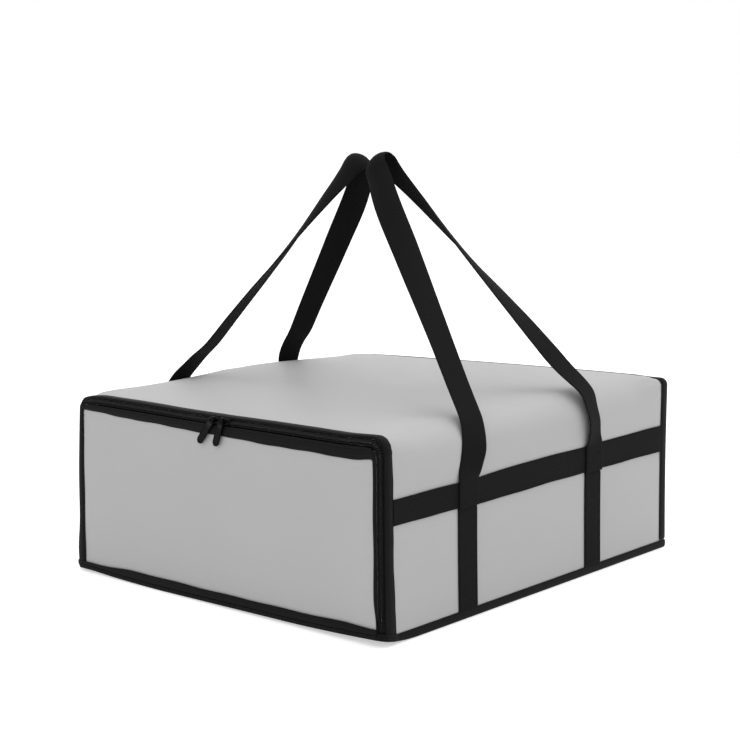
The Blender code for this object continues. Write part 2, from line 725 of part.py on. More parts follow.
def build_loop(side, sign, pivot):
    """The upper part of a handle, a band that turns a quarter on each way up to its peak.

    It lies in a plane that leans in over the bag. At the fold line the webbing lies flat in
    that plane, and over the peak it stands square to it, as it does over a hand.
    """
    fold, rise, outward = handle_plane(side, sign)
    back = Vector((0, 1, 0))
    top = (Vector((PEAK[side][0], 0, PEAK[side][2])) - fold).length
    legs = []
    for end, way in (("front", -1), ("rear", 1)):
        leg = []
        for y, height, ahead, share in loop_half(side, way, FOLD_Y[side][end], top):
            outside = back * way * ahead[1] - rise * way * ahead[0]
            turn = math.radians(90) * share**TWIST_POWER
            thick = outward * math.cos(turn) + outside * math.sin(turn)
            square = back * math.cos(turn) * abs(ahead[1]) - outward * way * math.sin(turn)
            square += rise * -ahead[0] * math.cos(turn)
            sheared = back / ahead[1]
            mix = min(1.0, height / SQUARING)
            wide = sheared.lerp(square, mix)
            centre = fold + rise * height + back * y
            leg.append((centre, wide * WEB / 2, thick * HANDLE_THICKNESS / 2))
        legs.append(leg)
    crown = fold + rise * top + back * PEAK[side][1]
    stations = list(legs[0])
    stations.append((crown, outward * WEB / 2, rise * HANDLE_THICKNESS / 2))
    for centre, wide, thick in reversed(legs[1]):
        stations.append((centre, -wide, thick))
    add_object(f"handle_loop_{side}", band(stations, twisted=True), "webbing", pivot)


def build_handles():
    """Two handles, each one length of webbing that folds at the belt and over the shoulder."""
    for side, sign in (("left", -1), ("right", 1)):
        lower = add_pivot(f"handle_{side}_lower_pivot", (sign * HANDLE_X, 0, LEG_HINGE))
        upper = add_pivot(f"handle_{side}_upper_pivot", (sign * LOOP_HINGE[0], 0, LOOP_HINGE[1]))
        upper.parent = lower
        upper.matrix_parent_inverse = lower.matrix_world.inverted()
        for end in STRAP_Y:
            build_leg(side, sign, end, lower)
        build_loop(side, sign, upper)


def main():
    """Clears the scene and builds the bag."""
    for old in list(bpy.data.objects):
        bpy.data.objects.remove(old, do_unlink=True)
    build_walls()
    build_bindings()
    hinge = add_pivot("flap_pivot", (0, FRONT, FLAP_BOTTOM))
    build_flap(hinge)
    seam = Seam()
    build_zip(seam, hinge)
    for side in ("left", "right"):
        cap, eye = build_slider(seam, side, hinge)
        build_pull(side, cap, eye)
    build_webbing()
    build_handles()


main()
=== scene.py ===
"""Looks of the insulated box bag: its cloth, foam, foil, tapes, zip and webbing handles.

Metres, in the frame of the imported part: X runs across the front, Y from the front to the
back, Z up, and the origin is on the surface that the bag stands on.
"""

import math

import bmesh
import bpy
import numpy as np
from mathutils import Matrix, Vector


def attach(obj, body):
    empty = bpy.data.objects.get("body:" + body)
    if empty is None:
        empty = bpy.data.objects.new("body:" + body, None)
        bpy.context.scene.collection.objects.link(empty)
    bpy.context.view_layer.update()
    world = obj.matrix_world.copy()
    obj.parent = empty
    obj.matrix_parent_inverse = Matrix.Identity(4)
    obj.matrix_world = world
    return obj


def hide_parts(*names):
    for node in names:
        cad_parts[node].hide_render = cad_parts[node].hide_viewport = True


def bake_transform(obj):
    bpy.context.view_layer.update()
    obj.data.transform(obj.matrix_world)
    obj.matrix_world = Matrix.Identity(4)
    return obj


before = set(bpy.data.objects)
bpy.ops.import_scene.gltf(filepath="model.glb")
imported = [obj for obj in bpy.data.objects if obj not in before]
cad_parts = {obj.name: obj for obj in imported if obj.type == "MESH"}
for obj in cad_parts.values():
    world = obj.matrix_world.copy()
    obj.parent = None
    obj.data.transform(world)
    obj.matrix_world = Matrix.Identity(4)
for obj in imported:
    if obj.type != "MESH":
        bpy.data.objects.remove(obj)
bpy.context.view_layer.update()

# Sizes that the part has, cloth to cloth.
HALF = 0.280
FRONT = -0.310
REAR = 0.310
HEIGHT = 0.2455
GAP = 0.0003
CLOTH = 0.0015
FOAM = 0.008
FOIL = 0.001
FOAM_DEPTH = CLOTH + GAP
FOIL_DEPTH = FOAM_DEPTH + FOAM + GAP
WALL = FOIL_DEPTH + FOIL
MOUTH = FRONT + 0.007
WALL_FRONT = FRONT + 0.010
WALL_REAR = REAR - WALL - GAP
BASE_FRONT = FRONT + 0.0135
INSIDE = HALF - WALL - GAP
FLAP_HALF = 0.2735
FLAP_TOP = 0.236
FLAP_CLOTH = 0.0012
FLAP_FOAM = 0.006
FLAP_INSET = 0.0045
FLAP_BOTTOM = 0.006
TAPE = 0.0012
MOUTH_HALF = 0.2782
MOUTH_TOP = 0.244
ZIP_FOOT = 0.016
BINDING = 0.0145
REAR_TURN = 0.010
BASE_TAPE = 0.012
WEB = 0.038
WEB_THICKNESS = 0.0018
BELT_LOW = 0.1405
BELT_TOP = BELT_LOW + WEB
STRAP_Y = {"front": -0.149, "rear": 0.124}
HANDLE_THICKNESS = 0.0020
HANDLE_X = HALF + GAP + WEB_THICKNESS + GAP + HANDLE_THICKNESS / 2
LEG_HINGE = BELT_TOP + 0.0012
LOOP_HINGE = (0.2622, 0.2530)
FOLD_Y = {
    "left": {"front": -0.1075, "rear": 0.0995},
    "right": {"front": -0.1245, "rear": 0.1140},
}
SIDES = (("left", -1), ("right", 1))

# Soft shapes that the photograph shows, each within the room of the part's solids.
SHOULDERS = {"front": (0.0095, 0.0175), "broad": (0.018, 0.034), "rear": (0.012, 0.009)}
FLAP_CORNERS = (0.005, 0.0115)
MOUTH_CORNERS = (0.0065, 0.0160)
PANEL_HALVES = (0.265, 0.268)
PANEL_CORNER = 0.0035
PEAK = {"left": (-0.0230, 0.003, 0.5636), "right": (0.0125, -0.0065, 0.5655)}
PEAK_RADIUS = 0.0215
PEAK_CUP = 0.8
LOOP_SHARES = (0.0, 0.12, 0.25, 0.40, 0.55, 0.70, 0.85, 1.0)
LOOP_TURNS = {  # degrees that each half of a handle has twisted, up to its peak
    ("left", "front"): (2, 9, 11.5, 16, 25, 38, 59, 90),
    ("left", "rear"): (8, 14, 17, 22, 29, 43, 64, 90),
    ("right", "front"): (4, 5, 8, 15, 26, 42, 63, 90),
    ("right", "rear"): (6, -2, 4, 15, 28, 42, 61, 90),
}
LEG_HEIGHTS = (0.177, 0.190, 0.210, 0.225, 0.240)
LEG_TURNS = {
    ("left", "front"): (0, 0, 0, 0, 0), ("left", "rear"): (0, 0, 0, 0, 3),
    ("right", "front"): (0, 10, 12, 8, 4.5), ("right", "rear"): (0, 12, 15, 14, 10),
}
LEG_LOOSE = {
    ("left", "front"): (0.0012, 0.0010), ("left", "rear"): (0.0012, 0.0010),
    ("right", "front"): (0.0012, 0.0010), ("right", "rear"): (0.0024, 0.0076),
}
SPLIT = 0.1872  # height where a handle's sewn foot ends and its long piece begins
LEG_BEND = 0.206  # height where a leg leaves the side wall
LEG_CARRIED = {"front": 0.0062, "rear": 0.0056}  # lift of the left legs over the shoulder
LOOP_BOW = 0.0042  # how far a half of a loop bows outward below its peak
STITCH = 0.0034
STITCH_DIP = 0.055  # width of the dip along a stitch row, as a share of a tape's width
FACING = 0.8  # thickness of a cloth or tape here, as a share of its solid's
FOIL_FACING = 0.6
SWELL_PRESSURE = 3.0
SWELL_CAP = 0.0016  # furthest that cloth swells between its seams
FLAP_SWELL_CAP = 0.0011
SEAM_EASE = 0.006  # distance from a seam over which the cloth comes free


def ease(value, low, high):
    """0 below low, 1 above high and a smooth rise between."""
    share = np.clip((np.asarray(value, float) - low) / (high - low), 0, 1)
    return share * share * (3 - 2 * share)


def bell(value, middle, width):
    """1 at the middle, and a smooth fall to nothing on both sides of it."""
    return np.exp(-(((value - middle) / width) ** 2))


def puff(x, y, z):
    """How far the top has puffed up or sunk, and been pulled down at its rear seam."""
    back = 0.0042 + 0.0235 * x - 0.028 * x * x
    side = 0.0065 * bell(y, 0.05, 0.16) * ease(-x, 0.10, 0.25)
    past = np.clip((y - (REAR - 0.048)) / 0.048, 0, 1.1)
    corner = ease(x, 0.235, 0.275)
    seam = 0.0105 * past**2 * (1 - corner) + corner * back * ease(y, 0.268, 0.298)
    return (back * ease(y, -0.05, 0.25) + side - seam) * ease(z, 0.18, HEIGHT)


def front_lift(x, y, z):
    """How far the front's lower edge has come off the ground, towards both corners."""
    right = 0.0027 * np.clip((x + 0.107) / 0.22, 0, 1)
    right = right + 0.0058 * np.clip((x - 0.113) / 0.16, 0, 1.1) ** 1.6
    left = 0.0028 * np.clip((-x - 0.107) / 0.135, 0, 1.05) ** 2.2
    return (right + left) * np.clip((-y - 0.25) / 0.0625, 0, 1.05) ** 2 * (1 - ease(z, 0, 0.10))


def front_lean(x, y, z):
    """How far the front's left edge leans in at the top and out at the foot."""
    panel = 0.0016 + 0.028 * z
    edge = 0.0106 * (np.clip(z, 0, 0.26) / 0.235) ** 3
    edge = edge - 0.0063 * bell(z, 0.022, 0.036)
    edge = edge - 0.0014 * bell(z, 0.13, 0.06)
    share = np.clip((-x - 0.265) / 0.0165, 0, 1.1)
    lean = panel + (edge - panel) * share
    return lean * ease(-x, 0.17, 0.265) * ease(-y, 0.255, 0.295)


def front_corner(x, y, z):
    """How the front's top edge rises along its run and droops at its left corner."""
    raised = 0.0013 * ease(-x, 0.05, 0.16) - 0.0012 * ease(-x, -0.10, 0.0)
    raised = raised - 0.0048 * np.clip((-x - 0.235) / 0.04, 0, 1.1) ** 1.5
    raised = raised + 0.0024 * ease(x, 0.215, 0.262)
    return raised * ease(z, 0.225, 0.245) * ease(-y, 0.262, 0.300)


def settle(points):
    """How the real bag has sagged and bowed, away from the straight lines of its cut."""
    spot = np.array(points, float).reshape(-1, 3)
    x, y, z = spot.T
    moved = spot.copy()
    moved[:, 2] += front_lift(x, y, z) + front_corner(x, y, z) + puff(x, y, z)
    hollow = ease(np.abs(x), 0.20, HALF) * np.sign(x) * ease(y, -0.29, -0.25)
    moved[:, 0] -= hollow * 0.0012 * np.sin(math.pi * np.clip(z / HEIGHT, 0, 1))
    moved[:, 0] += front_lean(x, y, z)
    return moved


class Arch:
    """The outline of a wall or an edge: up the left, over the top and down the right.

    A place on it is a number from 0 to 5: one for each straight side, each corner and the top.
    Half width and corner radius may be pairs, of the left and of the right.
    """

    def __init__(self, half, top, radius, foot):
        self.halves = half if isinstance(half, tuple) else (half, half)
        self.radii = radius if isinstance(radius, tuple) else (radius, radius)
        self.top, self.foot = top, foot

    def at(self, place):
        """Point and outward direction in X and Z."""
        mirrored = place > 2.5
        half, radius = self.halves[mirrored], self.radii[mirrored]
        t = 5 - place if mirrored else place
        shoulder = self.top - radius
        side = 1 if mirrored else -1
        if t <= 1:
            return half * side, self.foot + (shoulder - self.foot) * t, side, 0.0
        if t <= 2:
            turn = math.pi / 2 * (t - 1)
            a, b = math.cos(turn), math.sin(turn)
            return (half - radius + radius * a) * side, shoulder + radius * b, a * side, b
        left, right = self.radii[0] - self.halves[0], self.halves[1] - self.radii[1]
        return left + (right - left) * (place - 2), self.top, 0.0, 1.0

    def reach(self, z):
        """Half widths, left and right, at a height."""
        found = []
        for half, radius in zip(self.halves, self.radii):
            over = min(radius, max(0.0, z - (self.top - radius)))
            found.append(half - radius + math.sqrt(radius**2 - over**2))
        return found


def places(side=22, corner=9, top=36):
    """Places along an arch, closer together round its corners."""
    steps = [i / side for i in range(side)]
    steps += [1 + i / corner for i in range(corner)]
    steps += [2 + i / top for i in range(top)]
    steps += [3 + i / corner for i in range(corner)]
    steps += [4 + i / side for i in range(side + 1)]
    return steps


def shell(depth, y, foot=GAP):
    """The bag's outline at a depth below the outer cloth: tight at both sewn ends."""
    front, rear = float(ease(-y, 0.215, 0.297)), float(ease(y, 0.225, 0.300))
    radii = []
    for index in range(2):
        broad = SHOULDERS["broad"][index]
        radius = broad + (SHOULDERS["front"][index] - broad) * front
        radius += (SHOULDERS["rear"][index] - broad) * rear
        radii.append(max(radius - depth, 0.0015))
    return Arch(HALF - depth, HEIGHT - depth, tuple(radii), foot)


def vertex_spots(made):
    """Places of an object's vertices, a row each."""
    return np.array([vert.co for vert in made.data.vertices], float)


def runs_along(points):
    """Metres from the first of some points to each of them."""
    steps = np.linalg.norm(np.diff(points, axis=0), axis=1)
    return np.concatenate([[0], np.cumsum(steps)])


def row_at(run, runs, table):
    """A table's row of three at a distance along it, between the rows that it has."""
    return Vector([np.interp(run, runs, table[:, k]) for k in range(3)])


def placed(spot, *axes):
    """The matrix that puts a shape at a spot, with its own axes along those given."""
    return Matrix.Translation(spot) @ Matrix(axes).transposed().to_4x4()


def add_mesh(name, bm, settled=True, smooth=40):
    """An object of a finished bmesh, smooth where its faces meet at a small angle."""
    if settled:
        spots = settle([vert.co for vert in bm.verts])
        for vert, spot in zip(bm.verts, spots):
            vert.co = spot
    mesh = bpy.data.meshes.new(name)
    bm.to_mesh(mesh)
    bm.free()
    mesh.shade_smooth()
    mesh.set_sharp_from_angle(angle=math.radians(smooth))
    made = bpy.data.objects.new(name, mesh)
    bpy.context.scene.collection.objects.link(made)
    return made


def lay(name, grid, settled=True):
    """A sheet through a grid of points, with the metres across and along kept on it."""
    grid = np.array(grid, float)
    rows, columns = grid.shape[:2]
    bm = bmesh.new()
    bmesh.ops.create_grid(bm, x_segments=columns - 1, y_segments=rows - 1, size=1.0)
    laid = bm.verts.layers.float_vector.new("laid")
    steps = np.linalg.norm(np.diff(grid, axis=0), axis=2).mean(axis=1)
    along = np.concatenate([[0], np.cumsum(steps)])
    steps = np.linalg.norm(np.diff(grid, axis=1), axis=2).mean(axis=0)
    across = np.concatenate([[0], np.cumsum(steps)])
    for vert in bm.verts:
        column = round((vert.co.x + 1) / 2 * (columns - 1))
        row = round((vert.co.y + 1) / 2 * (rows - 1))
        vert.co = Vector(grid[row][column])
        vert[laid] = Vector((across[column], along[row], 0))
    return add_mesh(name, bm, settled)


def thicken(made, thickness, offset, smooth=0):
    """Gives a sheet its thickness, along its normals, and applies it."""
    solid = made.modifiers.new("thickness", "SOLIDIFY")
    solid.thickness = thickness
    solid.offset = offset
    solid.use_even_offset = True
    if smooth:
        rounder = made.modifiers.new("rounder", "SUBSURF")
        rounder.levels = rounder.render_levels = smooth
    return apply_modifiers(made)


def apply_modifiers(made):
    """Replaces an object's mesh by what its modifiers make of it."""
    graph = bpy.context.evaluated_depsgraph_get()
    graph.update()
    mesh = bpy.data.meshes.new_from_object(made.evaluated_get(graph))
    made.modifiers.clear()
    old = made.data
    made.data = mesh
    bpy.data.meshes.remove(old)
    mesh.name = made.name
    mesh.shade_smooth()
    mesh.set_sharp_from_angle(angle=math.radians(40))
    return made


def outward(made, inside):
    """Turns a sheet's faces away from a point that is behind it."""
    face = made.data.polygons[len(made.data.polygons) // 2]
    if face.normal.dot(face.center - Vector(inside)) < 0:
        made.data.flip_normals()
    return made


def loft(rings, marks=None):
    """A closed body through like cross-sections; marks are the metres kept on each point."""
    bm = bmesh.new()
    laid = bm.verts.layers.float_vector.new("laid")
    first = [bm.verts.new(point) for point in rings[0]]
    face = bm.faces.new(first)
    if marks is not None:
        for vert, mark in zip(first, marks[0]):
            vert[laid] = Vector(mark)
    for index, ring in enumerate(rings[1:], 1):
        face = bmesh.ops.extrude_discrete_faces(bm, faces=[face])["faces"][0]
        for place, (loop, point) in enumerate(zip(face.loops, ring)):
            loop.vert.co = point
            if marks is not None:
                loop.vert[laid] = Vector(marks[index][place])
    bm.faces.new(first)
    bmesh.ops.recalc_face_normals(bm, faces=bm.faces)
    return bm


# Cross-section of woven webbing: shares of the half width and of the half thickness.
WEB_EDGE = ((1.0, 0.35), (0.985, 0.8), (0.95, 1.0))
WEB_BROAD = (0.75, 0.5, 0.25, 0.0, -0.25, -0.5, -0.75)


def web_section():
    """Points round the section, up one edge, over the top, and back underneath."""
    upper = list(WEB_EDGE) + [(s, 1.0) for s in WEB_BROAD]
    upper += [(-s, t) for s, t in reversed(WEB_EDGE)]
    return upper + [(s, -t) for s, t in reversed(upper)]


def webbing(name, stations, cups=None, start=0.0):
    """Webbing through stations: centre, half width and half thickness vectors.

    A cup is the angle in radians that each half of its width is rolled through.
    """
    centres, wides, thicks = (np.array(part, float) for part in zip(*stations))
    runs = runs_along(centres)
    section = web_section()
    rings, marks = [], []
    for index, (centre, wide, thick) in enumerate(zip(centres, wides, thicks)):
        half, deep = np.linalg.norm(wide), np.linalg.norm(thick)
        side, up = wide / half, thick / deep
        cup = 0.0 if cups is None else cups[index]
        ring = []
        for s, t in section:
            if cup > 0.01:
                turn, radius = s * cup, half / cup
                spoke = side * math.sin(turn) + up * math.cos(turn)
                ring.append(centre + spoke * (radius + deep * t) - up * radius)
            else:
                ring.append(centre + wide * s + thick * t)
        rings.append(ring)
        marks.append([(s * half, start + runs[index], 0) for s, _ in section])
    return add_mesh(name, loft(rings, marks))


def stitches(name, rows, body, pitch=STITCH, settled=True):
    """Running stitches, each a small bead of thread, along rows of (points, outward)."""
    bm = bmesh.new()
    for points, normals in rows:
        points = np.array(points, float)
        normals = np.array(normals, float)
        runs = runs_along(points)
        count = max(1, int(runs[-1] / pitch))
        for number in range(count):
            run = (number + 0.5) * runs[-1] / count
            spot, ahead, behind = (
                row_at(at, runs, points) for at in (run, run + pitch * 0.3, run - pitch * 0.3)
            )
            out = row_at(run, runs, normals).normalized()
            along = (ahead - behind).normalized()
            side = out.cross(along)
            place = placed(spot, along * pitch * 0.38, side * 0.00042, out * 0.00034)
            bmesh.ops.create_icosphere(bm, subdivisions=1, radius=1.0, matrix=place)
    return dress(add_mesh(name, bm, settled, smooth=70), "thread", body)


class Maker:
    """A material and short words for the nodes in it."""

    def __init__(self, tree):
        self.tree = tree
        self.nodes = tree.nodes
        self.links = tree.links

    def put(self, socket, value):
        if isinstance(value, bpy.types.NodeSocket):
            self.links.new(value, socket)
        elif value is not None:
            socket.default_value = value

    def math(self, operation, a, b=None, clamp=False):
        node = self.nodes.new("ShaderNodeMath")
        node.operation = operation
        node.use_clamp = clamp
        self.put(node.inputs[0], a)
        if b is not None:
            self.put(node.inputs[1], b)
        return node.outputs[0]

    def noise(self, vector, scale, detail=2.0, roughness=0.5):
        node = self.nodes.new("ShaderNodeTexNoise")
        self.put(node.inputs["Vector"], vector)
        node.inputs["Scale"].default_value = scale
        node.inputs["Detail"].default_value = detail
        node.inputs["Roughness"].default_value = roughness
        return node.outputs["Fac"]

    def mix(self, share, a, b):
        node = self.nodes.new("ShaderNodeMix")
        node.data_type = "RGBA"
        self.put(node.inputs["Factor"], share)
        self.put(node.inputs["A"], a)
        self.put(node.inputs["B"], b)
        return node.outputs["Result"]

    def span(self, value, low, high, to_low, to_high):
        node = self.nodes.new("ShaderNodeMapRange")
        self.put(node.inputs["Value"], value)
        node.inputs["From Min"].default_value = low
        node.inputs["From Max"].default_value = high
        node.inputs["To Min"].default_value = to_low
        node.inputs["To Max"].default_value = to_high
        return node.outputs["Result"]

    def bump(self, height, strength, distance):
        node = self.nodes.new("ShaderNodeBump")
        node.inputs["Strength"].default_value = strength
        node.inputs["Distance"].default_value = distance
        self.put(node.inputs["Height"], height)
        return node.outputs["Normal"]

    def laid(self):
        node = self.nodes.new("ShaderNodeAttribute")
        node.attribute_name = "laid"
        return node.outputs["Vector"]

    def spot(self):
        return self.nodes.new("ShaderNodeTexCoord").outputs["Object"]

    def split(self, vector):
        node = self.nodes.new("ShaderNodeSeparateXYZ")
        self.put(node.inputs[0], vector)
        return node.outputs

    def group(self, tree, **values):
        node = self.nodes.new("ShaderNodeGroup")
        node.node_tree = tree
        for key, value in values.items():
            self.put(node.inputs[key.replace("_", " ")], value)
        return node.outputs


def start_group(name, ins, outs):
    """A shader node group with named sockets, and a maker for its inside."""
    tree = bpy.data.node_groups.new(name, "ShaderNodeTree")
    for label, kind in ins:
        tree.interface.new_socket(label, in_out="INPUT", socket_type=kind)
    for label, kind in outs:
        tree.interface.new_socket(label, in_out="OUTPUT", socket_type=kind)
    maker = Maker(tree)
    return tree, maker, maker.nodes.new("NodeGroupInput"), maker.nodes.new("NodeGroupOutput")


FLOAT, VECTOR = "NodeSocketFloat", "NodeSocketVector"


def weave_group():
    """Ribs across a webbing or tape, broken into staggered yarns by columns along it."""
    tree, m, into, out = start_group(
        "woven ribs",
        (("Laid", VECTOR), ("Rib", FLOAT), ("Column", FLOAT)),
        (("Height", FLOAT), ("Fuzz", FLOAT)),
    )
    across, along, _ = m.split(into.outputs["Laid"])
    column = m.math("DIVIDE", across, into.outputs["Column"])
    which = m.math("FLOOR", column)
    stagger = m.math("MULTIPLY", m.math("MODULO", which, 2.0), 0.5)
    row = m.math("ADD", m.math("DIVIDE", along, into.outputs["Rib"]), stagger)
    rib = m.math("ABSOLUTE", m.math("SINE", m.math("MULTIPLY", row, math.pi)))
    cord = m.math("ABSOLUTE", m.math("SINE", m.math("MULTIPLY", column, math.pi)))
    height = m.math("MULTIPLY", m.math("POWER", rib, 0.6), m.math("POWER", cord, 0.4))
    fuzz = m.noise(into.outputs["Laid"], 900.0, 3.0)
    m.links.new(height, out.inputs["Height"])
    m.links.new(fuzz, out.inputs["Fuzz"])
    return tree


def grain_group():
    """Fine plain weave under a coating, and slow changes of tone over a panel."""
    tree, m, into, out = start_group(
        "coated weave",
        (("Spot", VECTOR), ("Yarn", FLOAT)),
        (("Height", FLOAT), ("Tone", FLOAT)),
    )
    waves = []
    for line in m.split(into.outputs["Spot"]):
        turn = m.math("MULTIPLY", m.math("DIVIDE", line, into.outputs["Yarn"]), math.pi)
        waves.append(m.math("ABSOLUTE", m.math("SINE", turn)))
    weave = m.math("MAXIMUM", m.math("MULTIPLY", waves[0], waves[1]), waves[2])
    pebble = m.noise(into.outputs["Spot"], 420.0, 4.0, 0.6)
    height = m.math("ADD", m.math("MULTIPLY", weave, 0.5), pebble)
    slow = m.noise(into.outputs["Spot"], 9.0, 3.0, 0.5)
    m.links.new(height, out.inputs["Height"])
    m.links.new(slow, out.inputs["Tone"])
    return tree


WEAVE = weave_group()
GRAIN = grain_group()


def material(name, roughness, metallic=0.0, specular=0.5, coat=0.0):
    """A new Principled material, its maker and its shader."""
    made = bpy.data.materials.new(name)
    made.use_nodes = True
    shader = made.node_tree.nodes["Principled BSDF"]
    shader.inputs["Roughness"].default_value = roughness
    shader.inputs["Metallic"].default_value = metallic
    shader.inputs["Specular IOR Level"].default_value = specular
    shader.inputs["Coat Weight"].default_value = coat
    shader.inputs["Coat Roughness"].default_value = 0.12
    return made, Maker(made.node_tree), shader


def grey(level, tint=0.0):
    """A near-grey colour; a positive tint is cooler."""
    return (level * (1 - tint), level, level * (1 + tint), 1.0)


def silver_cloth():
    made, m, shader = material("silver cloth", 0.5, 0.0, 0.4)
    grain = m.group(GRAIN, Spot=m.spot(), Yarn=0.0011)
    tone = m.span(grain["Tone"], 0.3, 0.7, 0.0, 1.0)
    yarn = m.span(grain["Height"], 0.4, 1.1, 0.0, 1.0)
    base = m.mix(tone, grey(0.437), grey(0.452))
    m.put(shader.inputs["Base Color"], m.mix(yarn, m.mix(tone, grey(0.42), grey(0.435)), base))
    m.put(shader.inputs["Roughness"], m.span(grain["Tone"], 0.3, 0.7, 0.46, 0.56))
    m.put(shader.inputs["Normal"], m.bump(grain["Height"], 0.2, 0.0002))
    return made


def woven(name, level, rib, column, bump, roughness, specular):
    made, m, shader = material(name, roughness, 0.0, specular)
    ribs = m.group(WEAVE, Laid=m.laid(), Rib=rib, Column=column)
    # Base colour darker in the grooves between ribs and lighter on their crowns: painted shade and
    # painted light, varied by random fuzz.
    shade = m.math("MULTIPLY", ribs["Height"], m.span(ribs["Fuzz"], 0.3, 0.7, 0.8, 1.1))
    dark, light = grey(level * 0.55), grey(level * 1.2)
    m.put(shader.inputs["Base Color"], m.mix(shade, dark, light))
    rough = m.span(ribs["Height"], 0.0, 1.0, roughness + 0.1, roughness - 0.08)
    m.put(shader.inputs["Roughness"], rough)
    m.put(shader.inputs["Normal"], m.bump(ribs["Height"], bump, 0.0004))
    return made


def foil():
    made, m, shader = material("foil lining", 0.3, 1.0, 0.5)
    spot = m.spot()
    crease = m.noise(spot, 26.0, 6.0, 0.62)
    fine = m.noise(spot, 160.0, 3.0, 0.5)
    height = m.math("ADD", crease, m.math("MULTIPLY", fine, 0.15))
    m.put(shader.inputs["Base Color"], m.mix(crease, grey(0.66, 0.01), grey(0.80, 0.01)))
    m.put(shader.inputs["Roughness"], m.span(fine, 0.3, 0.7, 0.32, 0.44))
    m.put(shader.inputs["Normal"], m.bump(height, 0.32, 0.004))
    return made


def foam():
    made, m, shader = material("foam", 0.9, 0.0, 0.3)
    cells = m.nodes.new("ShaderNodeTexVoronoi")
    m.put(cells.inputs["Vector"], m.spot())
    cells.inputs["Scale"].default_value = 700.0
    share = cells.outputs["Distance"]
    m.put(shader.inputs["Base Color"], m.mix(share, grey(0.62, -0.02), grey(0.80, -0.02)))
    m.put(shader.inputs["Normal"], m.bump(share, 0.4, 0.0004))
    return made


def enamel(name, level, roughness, specular, coat):
    made, m, shader = material(name, roughness, 0.0, specular, coat)
    spot = m.spot()
    speckle = m.noise(spot, 1500.0, 2.0)
    wear = m.noise(spot, 300.0, 3.0)
    m.put(shader.inputs["Base Color"], m.mix(wear, grey(level * 0.8), grey(level * 1.3)))
    m.put(shader.inputs["Roughness"], m.span(wear, 0.3, 0.7, roughness, roughness + 0.1))
    m.put(shader.inputs["Normal"], m.bump(speckle, 0.02, 0.0001))
    return made


FINISH = {
    "silver": silver_cloth(),
    "tape": woven("binding tape", 0.0070, 0.0016, 0.0030, 0.35, 0.50, 0.05),
    "webbing": woven("webbing", 0.0085, 0.0022, 0.0034, 0.5, 0.70, 0.05),
    "thread": woven("sewing thread", 0.011, 0.0008, 0.0008, 0.3, 0.5, 0.10),
    "foam": foam(),
    "foil": foil(),
    "zip": woven("zip tape", 0.0070, 0.0009, 0.0012, 0.35, 0.55, 0.06),
    "teeth": enamel("zip teeth", 0.007, 0.25, 0.20, 0.0),
    "slider": enamel("slider enamel", 0.0020, 0.18, 0.06, 0.0),
}


def dress(made, finish, body=None, replaced=()):
    """Material, body and the CAD nodes that the piece stands for."""
    made.data.materials.clear()
    made.data.materials.append(FINISH[finish])
    if body is not None:
        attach(made, body)
    if replaced:
        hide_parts(*replaced)
    return made


def swell(made, pinned, pressure, cap, frames=20):
    """Lets cloth swell a little between its seams, never further than the cap."""
    start = vertex_spots(made)
    group = made.vertex_groups.new(name="sewn")
    for index, hold in enumerate(pinned):
        group.add([index], float(hold), "REPLACE")
    cloth = made.modifiers.new("cloth", "CLOTH")
    cloth.settings.effector_weights.gravity = 0.0
    cloth.settings.use_pressure = True
    cloth.settings.uniform_pressure_force = pressure
    cloth.settings.vertex_group_mass = "sewn"
    cloth.settings.quality = 5
    cloth.point_cache.frame_start = 1
    cloth.point_cache.frame_end = frames
    scene = bpy.context.scene
    for number in range(1, frames + 1):
        scene.frame_set(number)
    graph = bpy.context.evaluated_depsgraph_get()
    move = vertex_spots(made.evaluated_get(graph)) - start
    length = np.linalg.norm(move, axis=1)
    scale = np.where(length > 1e-9, cap * np.tanh(length / cap) / np.maximum(length, 1e-9), 0)
    made.modifiers.clear()
    made.vertex_groups.clear()
    after = start + move * scale[:, None]
    made.data.vertices.foreach_set("co", after.astype(np.float32).ravel())
    made.data.update()
    scene.frame_set(1)
    return made


def sewn_to_wall(made):
    """How firmly each point of the walls' cloth is held: under tapes, belts and straps."""
    x, y, z = vertex_spots(made).T
    front = 1 - ease(y, MOUTH + BINDING, MOUTH + BINDING + SEAM_EASE)
    hold = np.maximum(front, ease(y, REAR - BINDING - SEAM_EASE, REAR - BINDING))
    hold = np.maximum(hold, 1 - ease(z, BASE_TAPE, BASE_TAPE + SEAM_EASE))
    side = np.abs(x) > HALF - 0.010
    belt = ease(z, BELT_LOW - SEAM_EASE, BELT_LOW)
    belt = belt * (1 - ease(z, BELT_TOP, BELT_TOP + SEAM_EASE))
    hold = np.maximum(hold, belt * side)
    for middle in STRAP_Y.values():
        strap = 1 - ease(np.abs(y - middle), WEB / 2, WEB / 2 + SEAM_EASE)
        hold = np.maximum(hold, strap * side * (z < BELT_TOP))
    return hold


def wall_grid(rows, steps, foot=GAP):
    """Points of a folded wall; each row is how far back it is and how deep in the wall."""
    grid = []
    for y, depth in rows:
        outline = shell(depth, y, foot)
        grid.append([(x, y, z) for x, z, _, _ in (outline.at(place) for place in steps)])
    return grid


def add_foam(name, grid, thickness, body, node):
    """A foam pad, of a thickness about the middle surface that the grid gives."""
    pad = lay(name, grid)
    thicken(pad, thickness, 0.0)
    dress(pad, "foam", body, [node])


